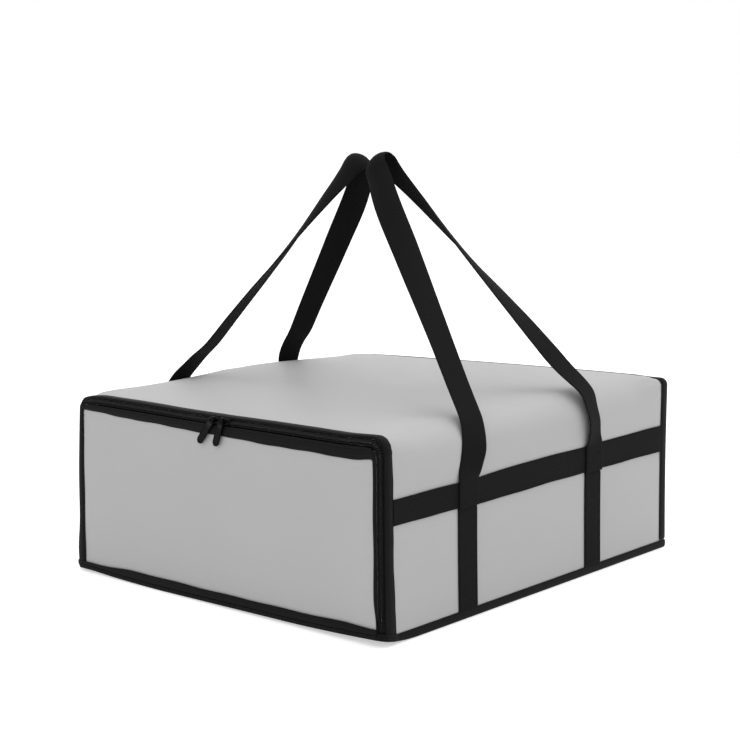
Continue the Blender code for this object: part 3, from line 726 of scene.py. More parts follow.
def build_walls():
    """The folded outer cloth of the top and sides, its foam and its foil."""
    rows = [(y, 0.0) for y in np.linspace(MOUTH, REAR - CLOTH - GAP, 72)]
    cloth = lay("wall_cloth", wall_grid(rows, places(24, 12, 40)))
    outward(cloth, (0, 0, 0.1))
    swell(cloth, sewn_to_wall(cloth), SWELL_PRESSURE, SWELL_CAP)
    thicken(cloth, CLOTH * FACING, -1.0)
    dress(cloth, "silver", "bag", ["wrap_outer"])

    steps = places(16, 8, 24)
    ys = np.linspace(WALL_FRONT, WALL_REAR, 40)
    rows = [(y, FOAM_DEPTH + FOAM / 2) for y in ys]
    add_foam("wall_foam", wall_grid(rows, steps, FOAM_DEPTH), FOAM, "bag", "wrap_foam")

    # The foil comes out at the mouth and turns over the foam's edge.
    hem = [(WALL_FRONT - 0.0009, depth) for depth in (0.0026, 0.0060, 0.0092)]
    hem.append((WALL_FRONT - 0.0004, FOIL_DEPTH))
    rows = hem + [(y + 0.0004, FOIL_DEPTH) for y in ys]
    lining = lay("wall_foil", wall_grid(rows, steps, FOAM_DEPTH))
    outward(lining, (0, 0, 0.1))
    thicken(lining, FOIL * FOIL_FACING, -1.0)
    dress(lining, "foil", "bag", ["wrap_lining"])


def panel_grid(outline, y, columns=60, rows=30):
    """Points of an upright panel with two rounded upper corners."""
    grid = []
    for step in range(rows + 1):
        z = outline.foot + (outline.top - outline.foot) * (1 - (1 - step / rows) ** 1.25)
        left, right = outline.reach(z)
        grid.append([((left + right) * i / columns - left, y, z) for i in range(columns + 1)])
    return grid


def build_rear():
    """The rear panel's cloth, foam and foil."""
    cloth = lay("rear_cloth", panel_grid(shell(0.0, REAR), REAR))
    outward(cloth, (0, 0, 0.1))
    x, _, z = vertex_spots(cloth).T
    rim = np.maximum(ease(np.abs(x), HALF - 0.016, HALF - 0.010), 1 - ease(z, 0.010, 0.016))
    rim = np.maximum(rim, ease(z, HEIGHT - 0.025, HEIGHT - 0.018))
    swell(cloth, rim, SWELL_PRESSURE, SWELL_CAP)
    thicken(cloth, CLOTH * FACING, -1.0)
    dress(cloth, "silver", "bag", ["rear_outer"])
    outline = shell(FOAM_DEPTH, REAR, FOAM_DEPTH)
    grid = panel_grid(outline, REAR - FOAM_DEPTH - FOAM / 2, 40, 20)
    add_foam("rear_foam_pad", grid, FOAM, "bag", "rear_foam")
    lining = lay("rear_foil", panel_grid(outline, REAR - FOIL_DEPTH - FOIL / 2))
    thicken(lining, FOIL * FOIL_FACING, 0.0)
    dress(lining, "foil", "bag", ["rear_lining"])


def floor_grid(half, front, rear, z, steps=40):
    """Points of a level panel."""
    xs, ys = np.linspace(-half, half, steps + 1), np.linspace(front, rear, steps + 1)
    return [[(x, y, z) for x in xs] for y in ys]


def build_base():
    """The base's cloth, foam and foil."""
    across, rear = HALF - CLOTH - GAP, REAR - CLOTH - GAP
    cloth = lay("base_cloth", floor_grid(across, BASE_FRONT, rear, CLOTH / 2))
    thicken(cloth, CLOTH * 0.9, 0.0)
    dress(cloth, "tape", "bag", ["base_outer"])
    low = CLOTH + GAP
    grid = floor_grid(INSIDE, BASE_FRONT, WALL_REAR, low + FOAM / 2)
    add_foam("base_foam_pad", grid, FOAM, "bag", "base_foam")
    top = low + FOAM + GAP
    lining = lay("base_foil", floor_grid(INSIDE, BASE_FRONT, WALL_REAR, top + FOIL / 2, 80))
    thicken(lining, FOIL * FOIL_FACING, 0.0)
    dress(lining, "foil", "bag", ["base_lining"])


def build_flap_panel():
    """The flap's cloth, foam and foil."""
    lip = 0.0012
    corners = tuple(corner - lip for corner in FLAP_CORNERS)
    edge = Arch(FLAP_HALF - lip, FLAP_TOP - lip, corners, FLAP_BOTTOM + lip)
    cloth = lay("flap_cloth", panel_grid(edge, FRONT, 70, 34))
    outward(cloth, (0, 0, 0.1))
    x, _, z = vertex_spots(cloth).T
    rim = np.maximum(ease(np.abs(x), 0.259, 0.264), 1 - ease(z, 0.020, 0.026))
    rim = np.maximum(rim, ease(z, 0.214, 0.220))
    swell(cloth, rim, SWELL_PRESSURE, FLAP_SWELL_CAP)
    thicken(cloth, FLAP_CLOTH * FACING, -1.0)
    dress(cloth, "silver", "flap", ["flap_outer"])
    inset = FLAP_INSET
    core = Arch(FLAP_HALF - inset, FLAP_TOP - inset, (0.002, 0.004), FLAP_BOTTOM + lip)
    y = FRONT + FLAP_CLOTH + GAP + FLAP_FOAM / 2
    add_foam("flap_foam_pad", panel_grid(core, y, 40, 20), FLAP_FOAM, "flap", "flap_foam")

    # The foil is turned forward over the foam's edge at both sides and at the top.
    y = FRONT + FLAP_CLOTH + GAP + FLAP_FOAM + GAP + FOIL / 2
    core = Arch(FLAP_HALF - inset + 0.0005, FLAP_TOP - inset + 0.0005, 0.002, FLAP_BOTTOM + lip)
    grid = np.array(panel_grid(core, y, 70, 34))
    turn = np.array((0.0004, -FLAP_FOAM, 0.0))
    left, right = grid[:, :1] + turn * (-1, 1, 1), grid[:, -1:] + turn
    grid = np.concatenate([left, grid, right], axis=1)
    top = grid[-1:].copy()
    top[:, 1:-1, 1] -= FLAP_FOAM
    top[:, :, 2] += 0.0004
    lining = lay("flap_foil", np.concatenate([grid, top]))
    thicken(lining, FOIL * FOIL_FACING, 0.0)
    dress(lining, "foil", "flap", ["flap_lining"])


def edging(name, lines, thickness):
    """A thin tape whose middle surface runs through the given section lines."""
    return thicken(lay(name, lines), thickness, 0.0, smooth=1)


def bent(points, radius, steps=4):
    """A line with its inner corners rounded."""
    points = [Vector(p) for p in points]
    line = [points[0]]
    for before, here, after in zip(points, points[1:], points[2:]):
        back = min(radius, (before - here).length * 0.45)
        ahead = min(radius, (after - here).length * 0.45)
        a = here + (before - here).normalized() * back
        b = here + (after - here).normalized() * ahead
        for step in range(steps + 1):
            t = step / steps
            line.append(a * (1 - t) ** 2 + here * 2 * t * (1 - t) + b * t**2)
    line.append(points[-1])
    return line


ROWS = (0.15, 0.85)  # places of a tape's two stitch rows, as shares of its width
MIDDLE = GAP + TAPE / 2
OVER = TAPE * FACING / 2 + 0.0001  # height of a stitch over its tape's middle surface


def pillow(share):
    """Height of a sewn tape over its width: pressed down along its two stitch rows."""
    dips = sum(bell(share, row, STITCH_DIP) for row in ROWS)
    return 0.0007 * math.sqrt(max(0.0, math.sin(math.pi * share))) - 0.0006 * dips


MOUTH_FACE = MOUTH - GAP - TAPE / 2
MOUTH_SKIRT = MOUTH - GAP - TAPE + BINDING


def mouth_point(place, share, lift=0.0):
    """A point on the side face of the mouth's tape, and its outward direction."""
    right = min(1.0, max(0.0, place - 3.4))
    _, height, _, _ = shell(0.0, MOUTH_SKIRT).at(place)
    flare = 0.004 * (1 - float(ease(height, 0.005, 0.110)))
    flare -= 0.003 * float(ease(height, 0.200, 0.240))
    wave = 0.0003 * math.sin(place * 23.0) + 0.0002 * math.sin(place * 61.0)
    y = MOUTH_FACE + (MOUTH_SKIRT + flare * right + wave - MOUTH_FACE) * share
    x, z, a, b = shell(0.0, y).at(place)
    out = Vector((a, 0, b))
    return Vector((x, y, z)) + out * (MIDDLE + pillow(share) + lift), out


def rear_point(place, share, lift=0.0):
    """A point on the side face of the rear tape, and its outward direction."""
    y = REAR - BINDING + (GAP + TAPE / 2 + BINDING) * share
    x, z, a, b = shell(0.0, min(y, REAR), BASE_TAPE + GAP).at(place)
    out = Vector((a, 0, b))
    return Vector((x, y, z)) + out * (MIDDLE + pillow(share) + lift), out


def foot_path(sign):
    """Plan of a side's foot tape: round the front corner, then back along the wall."""
    face = HALF + MIDDLE
    forward = 0.0 if sign > 0 else 0.0046
    points = [
        (0.2738, FRONT - 0.0017 + forward, 0), (0.2790, FRONT - 0.0012 + forward, 0),
        (face + 0.0013, FRONT + 0.0065, 0), (face + 0.0013, FRONT + 0.0190, 0),
        (face, FRONT + 0.0270, 0), (face, REAR + GAP + TAPE, 0),
    ]
    line = bent(points, 0.0030)
    start, end = line[-2], line[-1]
    line[-1:] = [start.lerp(end, step / 40) for step in range(1, 41)]
    return [Vector((sign * p.x, p.y, 0)) for p in line]


def upright_tape(name, sewing, stations, body, node):
    """A tape on edge with one row of stitches near its upper edge.

    Each station is its foot point, its outward direction, and its lower and upper height.
    """
    lines, row = [], []
    for point, out, low, high in stations:
        rise = Vector((0, 0, high - low))
        foot = point + Vector((0, 0, low))
        lines.append([foot + out * pillow(k / 8) + rise * k / 8 for k in range(9)])
        row.append((foot + out * (pillow(ROWS[1]) + OVER) + rise * ROWS[1], out))
    dress(edging(name, lines, TAPE * FACING), "tape", body, [node])
    stitches(sewing, [list(zip(*row))], body)


def build_tapes():
    """Edge tapes of the mouth, the rear and the base."""
    mouth = Arch(MOUTH_HALF, MOUTH_TOP, MOUTH_CORNERS, GAP)
    steps = places(30, 14, 60)
    lines = []
    for place in steps:
        u, w, a, b = mouth.at(place)
        edge = Vector((u, MOUTH_FACE, w)) - Vector((a, 0, b)) * 0.0006
        corner, _ = mouth_point(place, 0.0)
        line = bent([edge, corner, mouth_point(place, 0.09)[0]], 0.0014)
        lines.append(line + [mouth_point(place, k / 13)[0] for k in range(2, 14)])
    dress(edging("mouth_tape", lines, TAPE * FACING), "tape", "bag", ["mouth_binding"])
    rows = []
    for share in ROWS:
        rows.append(list(zip(*(mouth_point(place, share, OVER) for place in steps[2:-2]))))
    stitches("mouth_tape_stitches", rows, "bag")

    inner = Arch(HALF - REAR_TURN, HEIGHT - REAR_TURN, (0.003, 0.0025), BASE_TAPE + GAP)
    back = REAR + GAP + TAPE / 2
    lines = []
    for place in steps:
        corner, _ = rear_point(place, 1.0)
        u, w, _, _ = inner.at(place)
        end = Vector((u, back, w))
        side = [rear_point(place, k / 13)[0] for k in range(12)]
        face = []
        for k in range(2, 9):
            spot = corner.lerp(end, k / 8)
            face.append(spot + Vector((0, pillow(k / 8), 0)))
        lines.append(side[:-1] + bent([side[-1], corner, face[0]], 0.0014) + face[1:])
    dress(edging("rear_tape", lines, TAPE * FACING), "tape", "bag", ["rear_binding"])
    rows = [list(zip(*(rear_point(place, ROWS[0], OVER) for place in steps[1:-1])))]
    face_row = []
    for place in steps[1:-1]:
        corner, _ = rear_point(place, 1.0)
        u, w, _, _ = inner.at(place)
        spot = corner.lerp(Vector((u, back, w)), ROWS[1])
        face_row.append((spot + Vector((0, pillow(ROWS[1]) + OVER, 0)), Vector((0, 1, 0))))
    rows.append(list(zip(*face_row)))
    stitches("rear_tape_stitches", rows, "bag")

    low = 0.0005
    for side, sign in SIDES:
        stations = []
        path = foot_path(sign)
        for index, point in enumerate(path):
            ahead = path[min(index + 1, len(path) - 1)] - path[max(index - 1, 0)]
            out = Vector((ahead.y, -ahead.x, 0)).normalized() * sign
            top = BASE_TAPE - 0.0022 * float(ease(-point.y, 0.255, 0.290))
            stations.append((point, out, low, top))
        names = f"foot_tape_{side}", f"foot_tape_stitches_{side}"
        upright_tape(*names, stations, "bag", f"base_binding_{side}")
    lines, row = [], []
    for step in range(61):
        x = (HALF + 0.0005) * (2 * step / 60 - 1)
        line = []
        for k in range(9):
            z = low + (BASE_TAPE - low) * k / 8
            line.append((x, REAR + MIDDLE + pillow(k / 8), z))
        lines.append(line)
        spot = (x, REAR + MIDDLE + pillow(ROWS[1]) + OVER, BASE_TAPE * ROWS[1])
        row.append((spot, (0, 1, 0)))
    foot = edging("foot_tape_rear", lines, TAPE * FACING)
    dress(foot, "tape", "bag", ["base_binding_rear"])
    stitches("foot_tape_stitches_rear", [list(zip(*row))], "bag")


def top_line(x):
    """Lower edge of the black tape along the flap's top."""
    wave = 0.0004 * np.sin(x * 47.0) + 0.0003 * np.sin(x * 113.0 + 1.0)
    wave = wave + 0.0036 * ease(x, 0.235, 0.266)
    return 0.2200 + 0.0065 * (np.clip(0.25 - x, 0, 0.6) / 0.477) ** 2 + wave


def foot_line(x):
    """Upper edge of the black band along the flap's foot."""
    high = 0.0170 + 0.0010 * bell(x, -0.107, 0.05)
    high = high - 0.0060 * ease(-x, 0.160, 0.255) - 0.0026 * ease(x, 0.215, 0.275)
    return high + 0.0003 * np.sin(x * 67.0)


FLAP_FACE = FRONT - GAP - TAPE / 2


def flap_tape_line(place, shares):
    """Points across the flap's edge tape, from the panel out to the rim."""
    rim = Arch(FLAP_HALF, FLAP_TOP, FLAP_CORNERS, FLAP_BOTTOM + 0.0008)
    inner = Arch(PANEL_HALVES, FLAP_TOP - 0.0148, PANEL_CORNER, FLAP_BOTTOM + 0.0008)
    x, z, _, _ = rim.at(place)
    u, w, _, _ = inner.at(place)
    if 1 < place < 4:
        w = w - (FLAP_TOP - 0.0148) + float(top_line(u))
    u = u + 0.0004 * math.sin(w * 71.0) * (place <= 1 or place >= 4)
    u = u + 0.0042 * (1 - float(ease(w, 0.012, 0.052))) * (place >= 4)
    line = []
    for share in shares:
        spot = (u + (x - u) * share, FLAP_FACE - pillow(share), w + (z - w) * share)
        line.append(Vector(spot))
    return line


def build_flap_tapes():
    """Edge tape round the flap and the band along its foot."""
    steps = places(30, 12, 70)
    shares = [k / 12 for k in range(13)]
    lines = [flap_tape_line(place, shares) for place in steps]
    dress(edging("flap_edge_tape", lines, TAPE * FACING), "tape", "flap", ["flap_binding"])
    out = Vector((0, -1, 0))
    rows = []
    for index in range(2):
        points = [flap_tape_line(place, ROWS)[index] + out * OVER for place in steps[3:-3]]
        rows.append((points, [out] * len(points)))
    stitches("flap_tape_stitches", rows, "flap")
    stations = []
    for step in range(91):
        x = FLAP_HALF * (2 * step / 90 - 1)
        foot = Vector((x, FLAP_FACE - 0.0010, 0))
        stations.append((foot, out, FLAP_BOTTOM + 0.0003, float(foot_line(x))))
    upright_tape("flap_foot_tape", "flap_foot_stitches", stations, "flap", "flap_foot_band")


def build_hinge():
    """The cloth hinge under the flap, and the small gussets at its two ends."""
    rings, marks = [], []
    high, face = FLAP_BOTTOM, FLAP_FACE - 0.0017
    for step in range(61):
        x = 0.2733 * (2 * step / 60 - 1)
        rear = BASE_FRONT - GAP if abs(x) <= INSIDE else FRONT + 0.0085
        ring = [
            (x, rear, 0.0005), (x, FRONT + 0.003, 0.0003), (x, face + 0.0009, 0.0004),
            (x, face + 0.0002, 0.0012), (x, face, 0.0030), (x, face, high),
            (x, FRONT + 0.003, high), (x, rear, high),
        ]
        rings.append(ring)
        marks.append([(p[2] - p[1], p[0], 0) for p in ring])
    hinge = add_mesh("flap_hinge_cloth", loft(rings, marks))
    dress(hinge, "tape", None, ["hinge_binding"])
    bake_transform(hinge)
    for side, sign in SIDES:
        lines = []
        for k in range(9):
            z = GAP + 0.0190 * k / 8
            flat = ((0.2738, FRONT + 0.0003), (0.2762, FRONT + 0.0030), (0.2790, MOUTH - 0.0006))
            lines.append([(sign * x, y, z) for x, y in flat])
        dress(edging(f"corner_gusset_{side}", lines, 0.0008), "tape", "bag")


class Seam:
    """The sloping strip between the flap's edge and the mouth's edge, where the zip lies."""

    def __init__(self):
        flap = Arch(FLAP_HALF, FLAP_TOP, FLAP_CORNERS, ZIP_FOOT)
        mouth = Arch(MOUTH_HALF, MOUTH_TOP, MOUTH_CORNERS, ZIP_FOOT)
        rise = MOUTH - FRONT
        middles, acrosses, outs = [], [], []
        for place in places(60, 24, 120):
            x, z, a, b = flap.at(place)
            u, w, _, _ = mouth.at(place)
            spread = (u - x) * a + (w - z) * b
            across = Vector((a * spread, rise, b * spread))
            outs.append(Vector((a * rise, -spread, b * rise)).normalized())
            acrosses.append(across.normalized())
            middles.append(Vector(((x + u) / 2, (FRONT + MOUTH) / 2, (z + w) / 2)))
        self.half = across.length / 2
        self.middles = np.array(middles)
        self.acrosses, self.outs = np.array(acrosses), np.array(outs)
        self.runs = runs_along(self.middles)
        self.length = self.runs[-1]

    def frame(self, run):
        tables = (self.middles, self.acrosses, self.outs)
        middle, across, out = (row_at(run, self.runs, table) for table in tables)
        return middle, across.normalized(), out.normalized()

    def at(self, run, across, height):
        middle, side, out = self.frame(run)
        return middle + side * across + out * height


TEETH_PITCH = 0.0026
TEETH_FOOT = 0.030


def build_zip(seam):
    """Zip tapes with a row of coil teeth on each, and the stops at the lower ends."""
    profile = ((0.02, -0.0003), (0.45, -0.0004), (0.66, 0.0003), (0.80, -0.0003), (0.98, 0.0002))
    for name, sign, body, node in (
        ("zip_cloth_body", 1, "bag", "zip_tape_body"),
        ("zip_cloth_flap", -1, "flap", "zip_tape_flap"),
    ):
        lines = []
        far = seam.half - GAP
        for run in np.linspace(0, seam.length, 260):
            lines.append([seam.at(run, sign * (GAP + far * s), h) for s, h in profile])
        dress(edging(name, lines, 0.0007), "zip", body, [node])
    first, last = TEETH_FOOT - ZIP_FOOT, seam.length - TEETH_FOOT + ZIP_FOOT
    for name, sign, body, shift, node in (
        ("zip_coil_body", 1, "bag", 0.0, "zip_teeth_body"),
        ("zip_coil_flap", -1, "flap", TEETH_PITCH / 2, "zip_teeth_flap"),
    ):
        bm = bmesh.new()
        for run in np.arange(first + shift, last, TEETH_PITCH):
            middle, across, out = seam.frame(run)
            along = across.cross(out)
            spot = middle + across * sign * 0.0010 + out * 0.0012
            place = placed(spot, along * 0.00085, across * 0.0019, out * 0.0011)
            bmesh.ops.create_icosphere(bm, subdivisions=1, radius=1.0, matrix=place)
        dress(add_mesh(name, bm, smooth=70), "teeth", body, [node])
    for side, run in (("left", first - 0.0038), ("right", last + 0.0038)):
        middle, across, out = seam.frame(run)
        bm = bmesh.new()
        spot = middle + across * 0.0020 + out * 0.0012
        place = placed(spot, across.cross(out) * 0.0068, across * 0.0027, out * 0.0017)
        bmesh.ops.create_cube(bm, size=1.0, matrix=place)
        bmesh.ops.bevel(
            bm, geom=bm.edges[:], offset=0.0004, segments=2, profile=0.5, affect="EDGES", material=-1
        )
        dress(add_mesh(f"stop_{side}", bm), "slider", "bag", [f"zip_stop_{side}"])


SLIDER_X = {"left": 0.0020, "right": 0.0200}
SLIDER_HALF = 0.00875
BRIDGE_HEIGHT = 0.0082
BRIDGE_RADIUS = 0.0008
EYE_RADIUS = 0.0016
EYE_SHIFT = {"left": 0.0018, "right": 0.0}
PULL_LENGTH = {"left": 0.0445, "right": 0.0388}
PULL_LEAN = {"left": 37.0, "right": 20.0}
PULL_HALF = 0.0051
PULL_THICKNESS = 0.0024


def build_sliders():
    """Each slider's shell with its bridge, and the pull that hangs from it."""
    for side, x in SLIDER_X.items():
        middle = Vector((x, (FRONT + MOUTH) / 2, (FLAP_TOP + MOUTH_TOP) / 2))
        across = Vector((0, MOUTH - FRONT, MOUTH_TOP - FLAP_TOP)).normalized()
        along, out = Vector((1, 0, 0)), Vector((0, -across.z, across.y))
        way = -1 if side == "left" else 1

        def at(ahead, over, height):
            return middle + along * ahead + across * over + out * height

        rings = []
        for step in range(17):
            t = step / 8 - 1
            wide = 0.0047 - 0.0009 * float(ease(-t * way, -0.2, 0.9)) - 0.0012 * abs(t) ** 7
            top = 0.0043 - 0.0007 * abs(t) ** 5
            low = 0.0028
            section = [
                (-wide, 0.0005), (-wide, top - 0.0009), (-wide + 0.0003, top - 0.0003),
                (-wide + 0.0010, top), (0.0, top + 0.0002), (wide - 0.0010, top),
                (wide - 0.0003, top - 0.0003), (wide, top - 0.0009), (wide, 0.0005),
                (wide - 0.0009, 0.0005), (wide - 0.0009, low), (-wide + 0.0009, low),
                (-wide + 0.0009, 0.0005),
            ]
            rings.append([at(SLIDER_HALF * t, over, height) for over, height in section])
        shape = loft(rings)
        path = [(-0.0046, 0.0036), (-0.0046, BRIDGE_HEIGHT), (0.0046, BRIDGE_HEIGHT), (0.0046, 0.0036)]
        path = bent([at(ahead, 0, height) for ahead, height in path], 0.0024, 5)
        rings = []
        for index, point in enumerate(path):
            forward = path[min(index + 1, len(path) - 1)] - path[max(index - 1, 0)]
            normal = across.cross(forward).normalized()
            ring = []
            for step in range(10):
                turn = 2 * math.pi * step / 10
                ring.append(
                    point + across * 0.0015 * math.cos(turn) + normal * BRIDGE_RADIUS * math.sin(turn)
                )
            rings.append(ring)
        bridge = loft(rings)
        spare = bpy.data.meshes.new("bridge")
        bridge.to_mesh(spare)
        bridge.free()
        shape.from_mesh(spare)
        bpy.data.meshes.remove(spare)
        slider = dress(add_mesh(f"slider_shell_{side}", shape), "slider", f"zip_slider_{side}")
        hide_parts(f"slider_{side}")
        build_pull(side, at(EYE_SHIFT[side], 0, BRIDGE_HEIGHT))


def build_pull(side, eye):
    """A pull: its end rolls over the bridge, and its rimmed blade hangs before the flap."""
    along = Vector((1, 0, 0))
    thin = (EYE_RADIUS - BRIDGE_RADIUS) * 0.55
    lean = math.radians(PULL_LEAN[side])
    down = Vector((-math.sin(lean), 0, -math.cos(lean)))
    across = Vector((math.cos(lean), 0, -math.sin(lean)))
    out = Vector((0, -1, 0))
    length = PULL_LENGTH[side]

    def section(centre, side_way, face_way, wide, deep, field):
        rim, soft = min(0.0011, wide * 0.3), min(0.0005, deep * 0.5)
        dip = 0.0005 * field
        shape = [
            (-wide, -deep + soft), (-wide, deep - soft), (-wide + soft, deep),
            (-wide + rim, deep), (-wide + rim + 0.0003, deep - dip), (0, deep - dip),
            (wide - rim - 0.0003, deep - dip), (wide - rim, deep), (wide - soft, deep),
            (wide, deep - soft), (wide, -deep + soft), (wide - soft, -deep), (-wide + soft, -deep),
        ]
        return [centre + side_way * s + face_way * t for s, t in shape]

    rings = []
    for degrees in range(300, -1, -25):
        turn = math.radians(degrees)
        spoke = Vector((0, -math.cos(turn), math.sin(turn)))
        rings.append(section(eye + spoke * EYE_RADIUS, along, spoke, 0.0026, thin, 0.0))
    start = eye + out * (EYE_RADIUS + 0.0002)
    stations = [(0.0020, 0.0029), (0.0036, 0.0037), (0.0052, PULL_HALF - 0.0002)]
    stations += [(0.0068, PULL_HALF), (0.0085, PULL_HALF), (0.0092, PULL_HALF)]
    stations += [(length * share, PULL_HALF) for share in (0.4, 0.6, 0.8)]
    for degrees in (0, 12, 24, 36, 48, 60, 70, 78, 84):
        turn = math.radians(degrees)
        run = length - PULL_HALF * (1 - math.sin(turn))
        stations.append((run, PULL_HALF * math.cos(turn)))
    for run, wide in stations:
        field = float(ease(run, 0.0085, 0.0092) * (1 - ease(run, length - 0.0020, length - 0.0014)))
        deep = thin + (PULL_THICKNESS / 2 - thin) * float(ease(run, 0.0015, 0.006))
        rings.append(section(start + down * run, across, out, wide, deep, field))
    pull = dress(add_mesh(f"pull_tab_{side}", loft(rings)), "slider", f"zip_pull_{side}")
    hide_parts(f"pull_{side}")


def belt_edges(y):
    """Lower and upper edge of the belt at a distance from the front."""
    high = 0.1744 + 0.0036 * ease(y, -0.15, -0.02) + 0.0018 * ease(y, 0.10, 0.22)
    low = 0.1426 - 0.0017 * bell(y, -0.10, 0.08)
    return low + 0.0003 * math.sin(y * 61.0), float(high) + 0.0003 * math.sin(y * 53.0)


def build_belts():
    """Belts round the sides and the straps down from them, with their seams."""
    thick = WEB_THICKNESS / 2
    depth = GAP + thick
    start, end = MOUTH_SKIRT + GAP - 0.0005, REAR - BINDING - GAP
    face = HALF + GAP + WEB_THICKNESS + 0.0001
    for side, sign in SIDES:
        stations = []
        for y in np.linspace(start, end, 110):
            low, high = belt_edges(y)
            centre = Vector((sign * (HALF + depth), y, (low + high) / 2))
            stations.append((centre, (0, 0, (high - low) / 2), (sign * thick, 0, 0)))
        belt = webbing(f"side_belt_{side}", stations)
        dress(belt, "webbing", "bag", [f"belt_{side}"])
        rows = []
        for inset in (0, 1):
            middle = STRAP_Y["front"], STRAP_Y["rear"]
            spans = ((start + 0.003, middle[0] - 0.020), (middle[0] + 0.020, middle[1] - 0.020))
            for first, last in spans + ((middle[1] + 0.020, end - 0.003),):
                points = []
                for y in np.linspace(first, last, 24):
                    low, high = belt_edges(y)
                    z = high - 0.0026 if inset else low + 0.0026
                    points.append((sign * face, y, z))
                rows.append((points, [(sign, 0, 0)] * 24))
        for end_name, y in STRAP_Y.items():
            stations = []
            for z in np.linspace(BASE_TAPE - 0.002, BELT_LOW + 0.004, 40):
                under = 0.0009 * float(ease(z, 0.1385, 0.1410) + 1 - ease(z, 0.0105, 0.0135))
                centre = Vector((sign * (HALF + depth - under), y, z))
                stations.append((centre, (0, WEB / 2 - 0.0004, 0), (sign * thick, 0, 0)))
            strap = webbing(f"down_strap_{side}_{end_name}", stations)
            dress(strap, "webbing", "bag", [f"strap_{side}_{end_name}"])
            for away in (-0.0160, 0.0160):
                points = [(sign * face, y + away, z) for z in np.linspace(0.015, 0.138, 20)]
                rows.append((points, [(sign, 0, 0)] * 20))
            out = HANDLE_X + HANDLE_THICKNESS / 2 + 0.0001
            left, right, low, high = y - 0.0155, y + 0.0155, 0.1450, 0.1715
            corners = ((left, low), (right, low), (right, high), (left, high), (left, low))
            crosses = ((left, low), (right, high)), ((left, high), (right, low))
            for a, b in list(zip(corners, corners[1:])) + list(crosses):
                points = [(sign * out, a[0], a[1]), (sign * out, b[0], b[1])]
                rows.append((points, [(sign, 0, 0)] * 2))
        stitches(f"belt_stitches_{side}", rows, "bag", 0.0030)


def handle_plane(side, sign):
    """A point of the shoulder fold, the way up the handle from it, and the way out."""
    foot = Vector((sign * LOOP_HINGE[0], 0, LOOP_HINGE[1]))
    rise = Vector((PEAK[side][0] - foot.x, 0, PEAK[side][2] - foot.z)).normalized()
    return foot, rise, Vector((sign * rise.z, 0, -sign * rise.x))


def turned(out, back, way, degrees):
    """Directions of the webbing's width and thickness after a twist to its outer side."""
    turn = math.radians(degrees)
    wide = back * math.cos(turn) - out * way * math.sin(turn)
    return wide, out * math.cos(turn) + back * way * math.sin(turn)


def loose(side, end, z):
    """How far a leg stands off the wall and the shoulder at a height."""
    low, high = LEG_LOOSE[side, end]
    return low * bell(z, 0.207, 0.016) + high * bell(z, 0.249, 0.020)


def carried(side, end, point):
    """How far the puffed left shoulder lifts a leg that lies over it."""
    if side == "right":
        return 0.0
    over = puff(point.x, point.y, point.z) + LEG_CARRIED[end] * ease(point.z, 0.215, 0.248)
    return float(over * (1 - ease(point.z, 0.258, 0.300)))


def leg_path(side, sign, end, way):
    """Stations of a handle from its sewn end to the fold over the shoulder."""
    fold, lean, _ = handle_plane(side, sign)
    begin = Vector((sign * HANDLE_X, 0, LEG_BEND))
    finish = fold - lean * 0.004
    rise = abs((finish.x - begin.x) * lean.z / lean.x)
    corner = Vector((begin.x, 0, finish.z - rise))
    heights = np.linspace(BELT_LOW + 0.001, SPLIT, 28)
    path = [Vector((sign * HANDLE_X, 0, z)) for z in heights]
    heights = np.linspace(SPLIT, LEG_BEND, 8)[1:]
    path += [Vector((sign * HANDLE_X, 0, z)) for z in heights]
    for step in range(1, 25):
        t = step / 24
        point = begin * (1 - t) ** 2 + corner * 2 * t * (1 - t) + finish * t**2
        path.append(point)
    low_y, high_y = STRAP_Y[end], FOLD_Y[side][end]
    made = []
    centres = []
    for point in path:
        share = max(0.0, (point.z - LEG_HINGE) / (fold.z - LEG_HINGE))
        across = low_y + (high_y - low_y) * share**1.3
        spot = point + Vector((sign * loose(side, end, point.z), across, 0))
        spot.z += carried(side, end, spot)
        centres.append(spot)
    turns = LEG_TURNS[side, end] + LOOP_TURNS[side, end][:1]
    for index, centre in enumerate(centres):
        after = centres[min(index + 1, len(centres) - 1)]
        ahead = (after - centres[max(index - 1, 0)]).normalized()
        across = (Vector((0, 1, 0)) - ahead * ahead.y).normalized()
        out = across.cross(ahead) * sign
        degrees = np.interp(centre.z, LEG_HEIGHTS + (fold.z,), turns)
        wide, thick = turned(out, across, way, degrees)
        made.append((centre, wide * WEB / 2, thick * HANDLE_THICKNESS / 2))
    return made[:28], made[27:]


